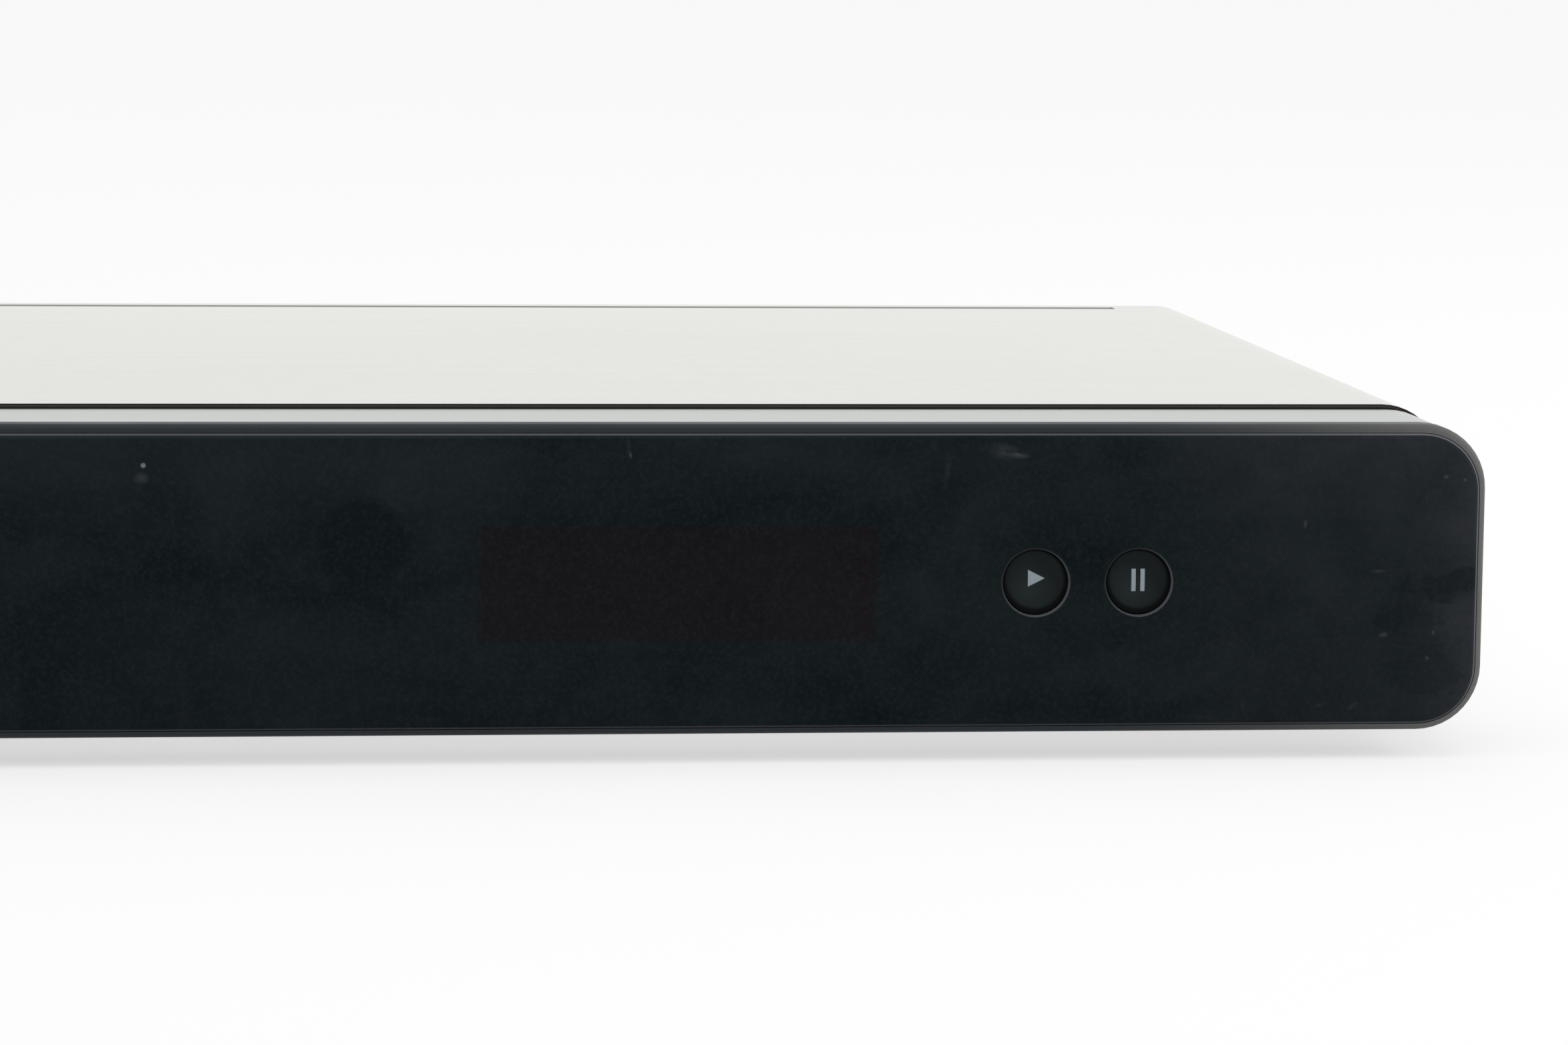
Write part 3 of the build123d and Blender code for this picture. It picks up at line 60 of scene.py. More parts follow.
class Paint:
    """A material and its node graph, which reads the object's own coordinates."""

    def __init__(
        self, name, roughness, metallic=0.0, specular=0.5, coat=0.0, coat_roughness=0.05
    ):
        self.material = bpy.data.materials.new(name)
        self.material.use_nodes = True
        self.tree = self.material.node_tree
        self.shader = self.tree.nodes["Principled BSDF"]
        self.shader.inputs["Roughness"].default_value = roughness
        self.shader.inputs["Metallic"].default_value = metallic
        self.shader.inputs["Specular IOR Level"].default_value = specular
        self.shader.inputs["Coat Weight"].default_value = coat
        self.shader.inputs["Coat Roughness"].default_value = coat_roughness
        self.place = self.node("ShaderNodeTexCoord").outputs["Object"]
        self.x, self.y, self.z = self.split(self.place)

    def node(self, kind):
        return self.tree.nodes.new(kind)

    def feed(self, socket, value):
        """Link a socket to another node's output, or set it to a plain value."""
        if isinstance(value, bpy.types.NodeSocket):
            self.tree.links.new(value, socket)
        elif isinstance(value, tuple) and socket.type == "RGBA":
            socket.default_value = (*value, 1.0)
        else:
            socket.default_value = value

    def split(self, vector):
        node = self.node("ShaderNodeSeparateXYZ")
        self.feed(node.inputs["Vector"], vector)
        return node.outputs

    def math(self, operation, *values):
        node = self.node("ShaderNodeMath")
        node.operation = operation
        for socket, value in zip(node.inputs, values):
            self.feed(socket, value)
        return node.outputs["Value"]

    def times(self, first, *others):
        """The product of two or more values."""
        for value in others:
            first = self.math("MULTIPLY", first, value)
        return first

    def plus(self, first, *others):
        """The sum of two or more values."""
        for value in others:
            first = self.math("ADD", first, value)
        return first

    def union(self, first, *others):
        """The largest of two or more values, which joins masks."""
        for value in others:
            first = self.math("MAXIMUM", first, value)
        return first

    def minus(self, a, b):
        return self.math("SUBTRACT", a, b)

    def absolute(self, value):
        return self.math("ABSOLUTE", value)

    def weighted(self, *parts):
        """The sum of patterns, given as pairs of a pattern and its weight."""
        return self.plus(*[self.times(pattern, weight) for pattern, weight in parts])

    def span(self, value, low, high, start=0.0, end=1.0):
        """Map a value between low and high onto start to end, and hold it outside."""
        node = self.node("ShaderNodeMapRange")
        self.feed(node.inputs["Value"], value)
        node.inputs["From Min"].default_value = low
        node.inputs["From Max"].default_value = high
        node.inputs["To Min"].default_value = start
        node.inputs["To Max"].default_value = end
        return node.outputs["Result"]

    def vary(self, noise, start, end):
        """Map a noise pattern onto start to end."""
        return self.span(noise, NOISE_LOW, NOISE_HIGH, start, end)

    def stretched(self, scale):
        """The object's coordinates in metres, multiplied axis by axis."""
        node = self.node("ShaderNodeMapping")
        self.feed(node.inputs["Vector"], self.place)
        node.inputs["Scale"].default_value = scale
        return node.outputs["Vector"]

    def noise(self, scale=1.0, detail=2.0, roughness=0.5, stretch=None, distortion=0.0):
        """Cloudy noise: repeats per metre as one scale for all axes, or as a stretch by axis."""
        node = self.node("ShaderNodeTexNoise")
        node.inputs["Scale"].default_value = scale
        node.inputs["Detail"].default_value = detail
        node.inputs["Roughness"].default_value = roughness
        node.inputs["Distortion"].default_value = distortion
        self.feed(node.inputs["Vector"], self.stretched(stretch) if stretch else self.place)
        return node.outputs["Fac"]

    def cells(self, scale, output="Distance", metric="EUCLIDEAN", stretch=None):
        """Cells per metre: the distance from each one's middle, or a colour for each one."""
        node = self.node("ShaderNodeTexVoronoi")
        node.distance = metric
        node.inputs["Scale"].default_value = scale
        self.feed(node.inputs["Vector"], self.stretched(stretch) if stretch else self.place)
        return node.outputs[output]

    def chance(self, scale):
        """A number between 0 and 1 for each cell."""
        node = self.node("ShaderNodeRGBToBW")
        self.feed(node.inputs["Color"], self.cells(scale, output="Color"))
        return node.outputs["Val"]

    def mix(self, factor, a, b):
        """A colour that turns from a into b as the factor goes from 0 to 1."""
        node = self.node("ShaderNodeMix")
        node.data_type = "RGBA"
        self.feed(node.inputs["Factor"], factor)
        self.feed(node.inputs[MIX_A], a)
        self.feed(node.inputs[MIX_B], b)
        return node.outputs[MIX_RESULT]

    def layer(self, under, over, mask, strength):
        """A colour laid over another inside a mask, at a strength between 0 and 1."""
        return self.mix(self.times(mask, strength), under, over)

    def shaded(self, colour, amount, factor):
        """A colour that a pattern between 0 and 1 makes darker and lighter by a share."""
        dark = tuple(channel * (1 - amount) for channel in colour)
        light = tuple(min(1.0, channel * (1 + amount)) for channel in colour)
        return self.mix(factor, dark, light)

    def bump(self, height, strength, distance):
        node = self.node("ShaderNodeBump")
        node.inputs["Strength"].default_value = strength
        node.inputs["Distance"].default_value = distance
        self.feed(node.inputs["Height"], height)
        self.feed(self.shader.inputs["Normal"], node.outputs["Normal"])

    def facing(self, axis):
        """How far the surface itself faces along an axis of the frame, either way."""
        normal = self.node("ShaderNodeNewGeometry").outputs["True Normal"]
        return self.absolute(self.split(normal)[axis])

    def within(self, value, low, high, soft=SOFT):
        """1 between low and high along one coordinate, with a soft edge."""
        past_low = self.span(value, low - soft, low + soft)
        return self.times(past_low, self.span(value, high - soft, high + soft, 1, 0))

    def panel(self, x, z, soft=SOFT):
        """1 inside a rectangle of the front panel."""
        return self.times(self.within(self.x, *x, soft), self.within(self.z, *z, soft))

    def length(self, a, b):
        """The length of a vector with two parts."""
        return self.math("SQRT", self.plus(self.math("POWER", a, 2), self.math("POWER", b, 2)))

    def radius(self, x, z):
        """Distance from a point of the front panel."""
        return self.length(self.minus(self.x, x), self.minus(self.z, z))

    def disc(self, x, z, radius, soft=SOFT):
        """1 inside a circle of the front panel."""
        return self.span(self.radius(x, z), radius - soft, radius + soft, 1, 0)

    def finish(self, colour, roughness=None):
        """Feed the shader and hand the material over."""
        self.feed(self.shader.inputs["Base Color"], colour)
        if roughness is not None:
            self.feed(self.shader.inputs["Roughness"], roughness)
        return self.material


# Materials that several pieces share


def moulding(name, colour, roughness, grain=5000.0, wear=0.10):
    """Moulded plastic: a fine sparked grain, slow changes of tone and faint rubbed spots."""
    paint = Paint(name, roughness, specular=0.4)
    fine = paint.noise(grain, roughness=0.6)
    slow = paint.noise(28.0, detail=3.0, roughness=0.55)
    paint.bump(fine, strength=0.35, distance=0.012 * MM)
    colour = paint.shaded(colour, wear, paint.weighted((fine, 0.45), (slow, 0.55)))
    return paint.finish(colour, paint.vary(slow, roughness - 0.07, roughness + 0.07))


def zinc_sheet():
    """Zinc-plated sheet: faint crystal flakes with rolling streaks."""
    paint = Paint("zinc_plated_sheet", 0.34, metallic=0.9)
    flakes = paint.chance(140.0)
    streaks = paint.noise(detail=3.0, roughness=0.6, stretch=(60.0, 2400.0, 2400.0))
    tone = paint.weighted((flakes, 0.5), (streaks, 0.5))
    paint.bump(streaks, strength=0.12, distance=0.02 * MM)
    colour = paint.shaded((0.56, 0.57, 0.56), 0.16, tone)
    return paint.finish(colour, paint.span(tone, 0.2, 0.8, 0.26, 0.44))


def turned(name, colour, roughness):
    """Plated turned metal: fine lathe marks, light tarnish."""
    paint = Paint(name, roughness, metallic=1.0)
    marks = paint.noise(stretch=(200.0, 9000.0, 200.0))
    tarnish = paint.noise(420.0, detail=3.0, roughness=0.6)
    paint.bump(marks, strength=0.15, distance=0.01 * MM)
    colour = paint.shaded(colour, 0.14, tarnish)
    return paint.finish(colour, paint.vary(tarnish, roughness - 0.06, roughness + 0.14))


def soft_rubber(name, colour):
    """Matt rubber: an open grain with a dusty bloom."""
    paint = Paint(name, 0.85, specular=0.25)
    grain = paint.noise(2600.0, detail=3.0, roughness=0.65)
    bloom = paint.noise(90.0, detail=3.0, roughness=0.6)
    paint.bump(grain, strength=0.5, distance=0.03 * MM)
    colour = paint.shaded(colour, 0.22, paint.times(grain, bloom))
    return paint.finish(colour, paint.vary(bloom, 0.75, 0.92))


def circuit(name, mask, copper):
    """A printed board: tracks under the mask, tinned pads and vias."""
    paint = Paint(name, 0.38, specular=0.45)
    tracks = paint.cells(420.0, metric="CHEBYCHEV", stretch=(1.0, 0.35, 1.0))
    track = paint.span(tracks, 0.34, 0.40)
    vias = paint.span(paint.cells(260.0), 0.10, 0.13, 1, 0)
    weave = paint.noise(3800.0, detail=1.0)
    paint.bump(paint.plus(track, vias), strength=0.25, distance=0.03 * MM)
    colour = paint.layer(paint.mix(track, mask, copper), BLACK, weave, 0.18)
    tin = (0.55, 0.55, 0.50)
    return paint.finish(paint.mix(vias, colour, tin), paint.span(vias, 0, 1, 0.38, 0.25))


def tinted(name, colour, roughness):
    """A thin tinted window, film or lens with faint streaks from the mould."""
    paint = Paint(name, roughness)
    flow = paint.noise(160.0, detail=4.0, roughness=0.6, distortion=1.2)
    paint.bump(flow, strength=0.05, distance=0.05 * MM)
    colour = paint.shaded(colour, 0.2, flow)
    return paint.finish(colour, paint.vary(flow, roughness * 0.7, roughness * 1.4))


# Places on the front panel, read from the frame
display_low, display_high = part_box("display_filter")
receiver_low, receiver_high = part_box("receiver_filter")
receiver_x, _, receiver_z = middle("receiver_filter")
receiver_radius = (receiver_high[0] - receiver_low[0]) / 2
panel_low, panel_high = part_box("front_plate")
play_x, _, key_z = middle("play_button")
pause_x = middle("pause_button")[0]
standby_x = middle("standby_button")[0]
eject_x = middle("open_close_button")[0]
lamp_x, _, lamp_z = middle("standby_lamp")

# Colours and patterns of the plate and the lid
GLOSS = {"roughness": 0.10, "specular": 0.06}
FILM = (0.0001, 0.0031, 0.0040), (0.0076, 0.0121, 0.0142)  # clean and hazy
FILM_PATTERN = 0.41, 0.72  # noise levels of clean and hazy
FILM_ROUGHNESS = 0.07, 0.17  # clean and hazy
DUST = (0.0200, 0.0225, 0.0270)
DIRT = (0.13, 0.14, 0.145)
DISPLAY_TINT = (0.0047, 0.0013, 0.0032)
RECEIVER_TINT = (0.0001, 0.0037, 0.0046)
# Painted highlight on the rims of the plate and the lid and on the chamfers round the keys, paler
# towards the plate's ends
EDGE_LIGHT = (0.096, 0.102, 0.112)
END_LIGHT = (0.150, 0.155, 0.165)
EDGE_STRENGTH = 0.8
# Where the plate's colour moves further towards the hazy film colour: start and end along X (mm),
# and how much at the end
FILM_ENDS = [(150, 218, 0.55), (208, 216, 0.95), (20, -40, 0.35)]
# Smears and specks: x and z of the middle, half sizes in x and z (mm), lean, strength
MARKS = [
    (134.6, 52.9, 3.6, 1.6, -0.12, 0.14),
    (136.4, 52.3, 2.8, 0.7, -0.10, 0.28),
    (124.9, 49.2, 0.6, 3.6, 0.6, 0.05),
    (71.3, 53.4, 0.5, 2.4, -0.4, 0.08),
    (71.6, 52.3, 0.3, 0.7, -0.4, 0.35),
    (195.1, 9.2, 1.2, 0.6, 0.5, 0.10),
    (189.3, 9.4, 1.6, 0.4, 0.3, 0.06),
    (176.2, 9.6, 0.5, 1.4, -0.3, 0.06),
    (200.2, 21.4, 0.9, 0.5, 0.0, 0.45),
    (199.1, 32.4, 1.7, 0.4, 0.0, 0.12),
    (186.3, 40.4, 0.4, 0.8, 0.0, 0.35),
    (210.4, 48.5, 0.5, 0.4, 0.0, 0.40),
    (213.7, 47.9, 0.4, 0.4, 0.0, 0.40),
    (207.9, 17.4, 0.4, 0.4, 0.0, 0.45),
    (208.9, 21.8, 0.4, 0.5, 0.0, 0.30),
    (-160.0, 14.0, 3.0, 0.7, 0.1, 0.12),
]
# Wiped patches in the dust, in the same order
WIPED = [
    (211.5, 30.4, 10.5, 3.8, 0.10, 1.0),
    (203.0, 24.5, 8.5, 3.6, 0.0, 0.8),
    (205.5, 21.0, 6.5, 2.4, 0.0, 0.5),
    (207.5, 15.5, 9.5, 6.0, 0.0, 0.7),
]

# Materials of the outside


def silver_cover():
    """Silver painted sheet: faint streaks across the width, painted light that makes it a little
    lighter towards the back, and painted shade in the rear groove and on the cut edge at the front."""
    paint = Paint("silver_painted_sheet", 0.50, metallic=0.35, specular=0.2)
    silver = (0.690, 0.697, 0.665)
    groove_shade, cut_shade = (0.20, 0.20, 0.20), (0.014, 0.013, 0.012)
    (left, front, _), (right, back, top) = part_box("top_cover")
    streaks = paint.noise(detail=4.0, roughness=0.65, stretch=(7.0, 420.0, 420.0))
    grain = paint.noise(detail=3.0, roughness=0.7, stretch=(240.0, 2400.0, 2400.0))
    clouds = paint.noise(7.0, detail=3.0)
    groove_start, groove_end, groove_inset = mm(12, 2, 20)
    # Painted light: the sheet is made a little lighter towards the back
    painted_light_back = paint.span(paint.y, front + 20 * MM, back - groove_start, 0.0, 0.12)
    tone = paint.weighted((streaks, 0.30), (grain, 0.55), (clouds, 0.15))
    colour = paint.shaded(silver, 0.17, paint.plus(tone, painted_light_back))
    # Painted shade in the rear groove
    groove = paint.times(
        paint.span(paint.z, top - 0.06 * MM, top - 0.02 * MM, 1, 0),
        paint.span(paint.z, top - 0.6 * MM, top - 0.5 * MM),
        paint.span(paint.y, back - groove_start, back - groove_start + 1 * MM),
        paint.span(paint.y, back - groove_end - 1 * MM, back - groove_end, 1, 0),
        paint.within(paint.x, left + groove_inset, right - groove_inset),
    )
    # Painted shade on the cover's front cut edge
    cut_edge = paint.times(
        paint.span(paint.y, front + 0.01 * MM, front + 0.05 * MM, 1, 0),
        paint.span(paint.facing("Y"), 0.5, 0.9),
    )
    colour = paint.layer(colour, groove_shade, groove, 0.65)
    colour = paint.layer(colour, cut_shade, cut_edge, 0.98)
    paint.bump(grain, strength=0.10, distance=0.02 * MM)
    return paint.finish(colour, paint.union(paint.vary(clouds, 0.46, 0.56), cut_edge))


def silver_trim():
    """Silver painted moulding: fine metal flake under a thin clear coat."""
    paint = Paint(
        "silver_painted_moulding",
        0.36,
        metallic=0.35,
        specular=0.25,
        coat=0.10,
        coat_roughness=0.25,
    )
    flake = paint.noise(7000.0, roughness=0.7)
    slow = paint.noise(detail=3.0, roughness=0.6, stretch=(18.0, 160.0, 160.0))
    paint.bump(flake, strength=0.08, distance=0.01 * MM)
    tone = paint.weighted((flake, 0.5), (slow, 0.5))
    colour = paint.shaded((0.485, 0.500, 0.487), 0.12, tone)
    return paint.finish(colour, paint.vary(slow, 0.40, 0.50))


def grained_bezel():
    """Dark grey moulding with a coarse sparked grain, and painted light that makes it paler towards
    its two ends and where it faces sideways.
    """
    paint = Paint("dark_grey_bezel", 0.5, specular=0.25)
    grain = paint.noise(2600.0, detail=3.0, roughness=0.65)
    slow = paint.noise(30.0, detail=3.0, roughness=0.6)
    paint.bump(grain, strength=0.5, distance=0.03 * MM)
    tone = paint.weighted((grain, 0.6), (slow, 0.4))
    # Painted light: the two ends and the faces that turn sideways get a paler, lit copy of the
    # colour
    reach = panel_high[0] + 1 * MM
    ends = paint.span(paint.absolute(paint.x), reach - 75 * MM, reach - 4 * MM)
    paler = paint.union(paint.span(paint.facing("X"), 0.05, 0.75), paint.math("POWER", ends, 2))
    dark = paint.shaded((0.0092, 0.0132, 0.0170), 0.40, tone)
    pale = paint.shaded((0.105, 0.105, 0.102), 0.30, tone)
    return paint.finish(paint.mix(paler, dark, pale), paint.vary(slow, 0.44, 0.56))


def smudge(paint, x, z, half_x, half_z, lean):
    """A soft oval mark on the panel that leans by a slope, 1 at its middle and 0 at its rim."""
    right = paint.minus(paint.x, x)
    upward = paint.minus(paint.z, z)
    if half_x > half_z:
        upward = paint.math("MULTIPLY_ADD", right, -lean, upward)
    else:
        right = paint.math("MULTIPLY_ADD", upward, -lean * half_x / half_z, right)
    across = paint.math("DIVIDE", right, half_x)
    along = paint.math("DIVIDE", upward, half_z)
    return paint.span(paint.length(across, along), 0.2, 1.0, 1, 0)


def torn(paint, ragged, oval, tear=2.8):
    """A soft mark with its outline broken up by a pattern."""
    edge = paint.math("MULTIPLY_ADD", ragged, tear, paint.minus(oval, tear / 2))
    return paint.times(paint.span(edge, 0.30, 0.50), paint.span(oval, 0.0, 0.1))


def fine_dust(paint):
    """A thin even fall of dust on gloss plastic, as a share of the dust's own colour."""
    return paint.times(paint.span(paint.noise(1400.0, roughness=0.7), 0.45, 0.75), 0.25)


def plate_film(paint, smear, wiped):
    """The plate's greasy film, with the colour moved further towards haze at the ends and the top,
    and thin where it is wiped.
    """
    haze = paint.noise(16.0, detail=5.0, roughness=0.62, stretch=(1.0, 1.0, 1.7), distortion=0.5)
    film = paint.span(paint.weighted((smear, 0.45), (haze, 0.55)), *FILM_PATTERN)
    ends = paint.union(*[
        paint.span(paint.x, *mm(start, end), 0.0, amount) for start, end, amount in FILM_ENDS
    ])
    ends = paint.times(ends, paint.span(paint.z, *mm(12, 52), 0.5, 1.0))
    film = paint.plus(film, ends, paint.span(paint.z, *mm(40, 54), 0.0, 0.28))
    return paint.times(film, paint.span(wiped, 0, 1, 1.0, 0.65))


def plate_dust(paint, smear, ragged, wiped):
    """Dust on the plate: at the right end and the upper right, and thin all over."""
    right_end = paint.math("POWER", paint.span(paint.x, *mm(198, 216)), 1.5)
    upper_right = paint.times(
        paint.span(paint.x, *mm(158, 178)), paint.span(paint.z, *mm(41, 54), 0.12, 0.55)
    )
    dust = paint.times(
        paint.union(paint.times(right_end, 0.85), upper_right),
        paint.span(smear, 0.35, 0.65, 0.75, 1.15),
        paint.span(ragged, 0.36, 0.64, 0.75, 1.2),
        paint.span(wiped, 0, 1, 1.0, 0.38),
    )
    return paint.plus(dust, fine_dust(paint))


def plate_dirt(paint):
    """Specks, smears and a blot under the lamp."""
    speck_scale = 330.0
    specks = paint.times(
        paint.span(paint.cells(speck_scale), 0.04, 0.09, 1, 0),
        paint.span(paint.chance(speck_scale), 0.64, 0.70),
    )
    smears = paint.union(*[
        paint.times(smudge(paint, *mm(*oval), lean), strength) for *oval, lean, strength in MARKS
    ])
    broken = paint.noise(detail=3.0, roughness=0.65, stretch=(420.0, 420.0, 900.0), distortion=0.6)
    smears = paint.times(smears, paint.span(broken, 0.38, 0.62, 0.25, 1.0))
    blot = smudge(paint, lamp_x - 0.3 * MM, lamp_z - 2.1 * MM, *mm(1.5, 1.1), 0.0)
    return paint.union(paint.times(specks, 0.40), smears, paint.times(blot, 0.13))


def turned_away(paint):
    """1 where a gloss piece no longer faces the front."""
    return paint.span(paint.facing("Y"), 0.80, 0.97, 1, 0)


def key_ring(paint, x):
    """The chamfer round a key, with a painted highlight: faint at the upper left and lighter at the
    lower right.
    """
    lower_right = paint.minus(paint.minus(paint.x, x), paint.minus(paint.z, key_z))
    glint = paint.span(lower_right, *mm(-6, 7), 0.26, 0.70)
    return paint.times(paint.disc(x, key_z, 7 * MM), glint)


def plate_edge(paint):
    """The painted highlight on the plate's rounded rim, fainter along the bottom, and on the
    chamfers round the keys.
    """
    inside = [(panel_low[axis] + 5 * MM, panel_high[axis] - 5 * MM) for axis in (0, 2)]
    front, base = panel_low[1:]
    rim = paint.times(
        paint.minus(1.0, paint.panel(*inside, 0.1 * MM)),
        paint.span(paint.y, front + 0.14 * MM, front + 0.24 * MM),
        paint.span(paint.z, base + 1 * MM, base + 8 * MM, 0.5, 1.0),
    )
    rings = [key_ring(paint, x) for x in (standby_x, eject_x, play_x, pause_x)]
    return paint.times(turned_away(paint), paint.union(rim, *rings))


def gloss_plate():
    """Smoked gloss plate: hazy film, wiped patches, dust, smears and printed windows."""
    paint = Paint("smoked_gloss_plate", **GLOSS)
    smear = paint.noise(detail=4.0, roughness=0.6, stretch=(38.0, 38.0, 46.0), distortion=0.8)
    ragged = paint.noise(detail=4.0, roughness=0.65, stretch=(150.0, 150.0, 230.0), distortion=0.6)
    wiped = paint.union(*[
        paint.times(torn(paint, ragged, smudge(paint, *mm(*oval), lean)), strength)
        for *oval, lean, strength in WIPED
    ])
    film = plate_film(paint, smear, wiped)
    dirt = plate_dirt(paint)
    edge = plate_edge(paint)
    display = [(display_low[axis], display_high[axis]) for axis in (0, 2)]
    window = paint.panel(*display, 0.7 * MM)
    eye = paint.disc(receiver_x, receiver_z, receiver_radius, 0.8 * MM)
    colour = paint.mix(film, *FILM)
    colour = paint.layer(colour, DISPLAY_TINT, window, 0.6)
    colour = paint.layer(colour, RECEIVER_TINT, eye, 0.85)
    colour = paint.mix(plate_dust(paint, smear, ragged, wiped), colour, DUST)
    colour = paint.mix(dirt, colour, DIRT)
    # Painted highlight on the rim and the key chamfers, paler towards the plate's ends
    ends = paint.span(paint.absolute(paint.x), panel_high[0] - 50 * MM, panel_high[0] - 8 * MM)
    colour = paint.layer(colour, paint.mix(ends, EDGE_LIGHT, END_LIGHT), edge, EDGE_STRENGTH)
    rough = paint.span(film, 0, 1, *FILM_ROUGHNESS)
    return paint.finish(colour, paint.union(rough, paint.times(edge, 0.28), paint.times(dirt, 0.5)))


def gloss_lid():
    """The tray's lid, in the plate's smoked gloss with its own film of haze."""
    paint = Paint("smoked_gloss_lid", **GLOSS)
    haze = paint.noise(24.0, detail=5.0, roughness=0.6, stretch=(1.0, 1.0, 1.6), distortion=0.5)
    film = paint.span(haze, *FILM_PATTERN)
    specks = paint.span(paint.cells(210.0), 0.022, 0.04, 1, 0)
    colour = paint.mix(fine_dust(paint), paint.mix(film, *FILM), DUST)
    colour = paint.layer(colour, DIRT, specks, 0.4)
    # Painted highlight where the lid's edges turn away from the front
    colour = paint.layer(colour, EDGE_LIGHT, turned_away(paint), EDGE_STRENGTH)
    return paint.finish(colour, paint.span(film, 0, 1, *FILM_ROUGHNESS))


def triangle(paint, x, z, half, side_on):
    """1 inside a triangle about x, z that points right (side_on) or up."""
    right, upward = paint.minus(paint.x, x), paint.minus(paint.z, z)
    along, across = (right, upward) if side_on else (upward, right)
    slope = paint.math("MULTIPLY_ADD", along, -0.5, half / 2)
    body = paint.span(paint.minus(slope, paint.absolute(across)), -SOFT, SOFT)
    return paint.times(body, paint.span(along, -half - SOFT, -half + SOFT))


def bar(paint, x, z, half_x, low, high):
    """1 inside an upright or flat bar about x, from low to high above z."""
    return paint.panel((x - half_x, x + half_x), (z + low, z + high))


def play_sign(paint):
    return triangle(paint, play_x + 0.05 * MM, key_z + 0.75 * MM, 1.42 * MM, True)


def pause_sign(paint):
    places = pause_x - 0.92 * MM, pause_x + 0.62 * MM
    return paint.union(*[bar(paint, x, key_z, *mm(0.36, -1.5, 2.3)) for x in places])


def standby_sign(paint):
    z = key_z + 0.3 * MM
    off_ring = paint.absolute(paint.minus(paint.radius(standby_x, z), 1.75 * MM))
    ring = paint.span(off_ring, *mm(0.22, 0.32), 1, 0)
    gap = bar(paint, standby_x, z, *mm(0.75, 0.0, 3.0))
    stroke = bar(paint, standby_x, z, *mm(0.25, 0.0, 2.2))
    return paint.union(paint.times(ring, paint.minus(1.0, gap)), stroke)


def eject_sign(paint):
    z = key_z + 0.3 * MM
    line = bar(paint, eject_x, z, *mm(1.7, -1.75, -1.15))
    return paint.union(triangle(paint, eject_x, z + 0.85 * MM, 1.5 * MM, False), line)


def key_cap(name, node, sign):
    """A satin black key with its sign printed on the dome, a painted reflection at its lower left
    and painted shade where its rim sinks in.
    """
    paint = Paint(name, 0.30, specular=0.10)
    dark, worn_and_reflecting = (0.0001, 0.0020, 0.0026), (0.0113, 0.0169, 0.0180)
    shade, pale = (0.0004, 0.0005, 0.0006), (0.225, 0.265, 0.285)
    x, _, z = middle(node)
    grain = paint.noise(5200.0, roughness=0.6)
    rub = paint.noise(260.0, detail=3.0, roughness=0.6)
    paint.bump(grain, strength=0.15, distance=0.006 * MM)
    # Painted reflection: the dome is lighter towards its lower left
    painted_reflection = paint.span(paint.radius(x - 1.4 * MM, z - 1.6 * MM), *mm(0.6, 5.2), 1, 0)
    # The lighter colour stands for real rubbing and for the painted reflection together
    wear = paint.weighted((rub, 0.35), (painted_reflection, 0.65))
    # Painted shade where the rim sinks in
    sunk = paint.span(paint.radius(x - 0.1 * MM, z + 0.45 * MM), *mm(4.5, 5.1))
    ink = paint.times(sign(paint), paint.span(rub, 0.2, 0.4, 0.88, 1.0))
    colour = paint.mix(wear, dark, worn_and_reflecting)
    colour = paint.layer(colour, shade, sunk, 0.9)
    colour = paint.mix(ink, colour, pale)
    return paint.finish(colour, paint.union(paint.vary(rub, 0.24, 0.36), paint.times(sunk, 0.8)))


def lamp_lens():
    """The end of the light pipe in the plate: pale in the middle, with a dark rim."""
    paint = Paint("standby_lamp_lens", 0.22)
    flow = paint.noise(900.0, detail=3.0, roughness=0.6)
    pale = paint.shaded((0.105, 0.115, 0.120), 0.2, flow)
    core = paint.disc(lamp_x, lamp_z, *mm(0.34, 0.14))
    return paint.finish(paint.mix(core, (0.006, 0.008, 0.009), pale), paint.vary(flow, 0.16, 0.30))


def foam():
    """Dark closed-cell foam in the joint behind the trim."""
    paint = Paint("gasket_foam", 0.9, specular=0.05)
    pores = paint.cells(2600.0)
    paint.bump(pores, strength=0.6, distance=0.05 * MM)
    return paint.finish(paint.shaded((0.020, 0.0185, 0.017), 0.3, pores))


def printed_frame(paint, node):
    """1 along a thin printed rectangle round a socket or a row of sockets."""
    low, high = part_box(node)
    outer, inner = (
        paint.panel((low[0] - gap, high[0] + gap), (low[2] - gap, high[2] + gap))
        for gap in mm(1.9, 1.5)
    )
    return paint.minus(outer, inner)


def rear_paint():
    """Matt black paint on the rear plate: orange peel, rubbed spots and printed frames round the
    sockets."""
    paint = Paint("matt_black_paint", 0.55, specular=0.35)
    matt_black, paler = (0.022, 0.022, 0.024), (0.10, 0.10, 0.10)
    pale = (0.46, 0.46, 0.45)
    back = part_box("rear_panel")[1][1]
    peel = paint.noise(2200.0)
    rub = paint.span(paint.noise(120.0, detail=4.0, roughness=0.7), 0.62, 0.74)
    paint.bump(peel, strength=0.3, distance=0.02 * MM)
    sockets = "jack_rings", "lan_socket", "hdmi_socket", "mains_inlet"
    ink = paint.times(
        paint.union(*[printed_frame(paint, node) for node in sockets]),
        paint.span(paint.y, back - 0.2 * MM, back - 0.1 * MM),
        paint.span(peel, 0.3, 0.5, 0.7, 0.9),
    )
    colour = paint.shaded(matt_black, 0.15, peel)
    colour = paint.layer(colour, paler, rub, 0.25)
    colour = paint.mix(ink, colour, pale)
    return paint.finish(colour, paint.span(rub, 0, 1, 0.55, 0.40))


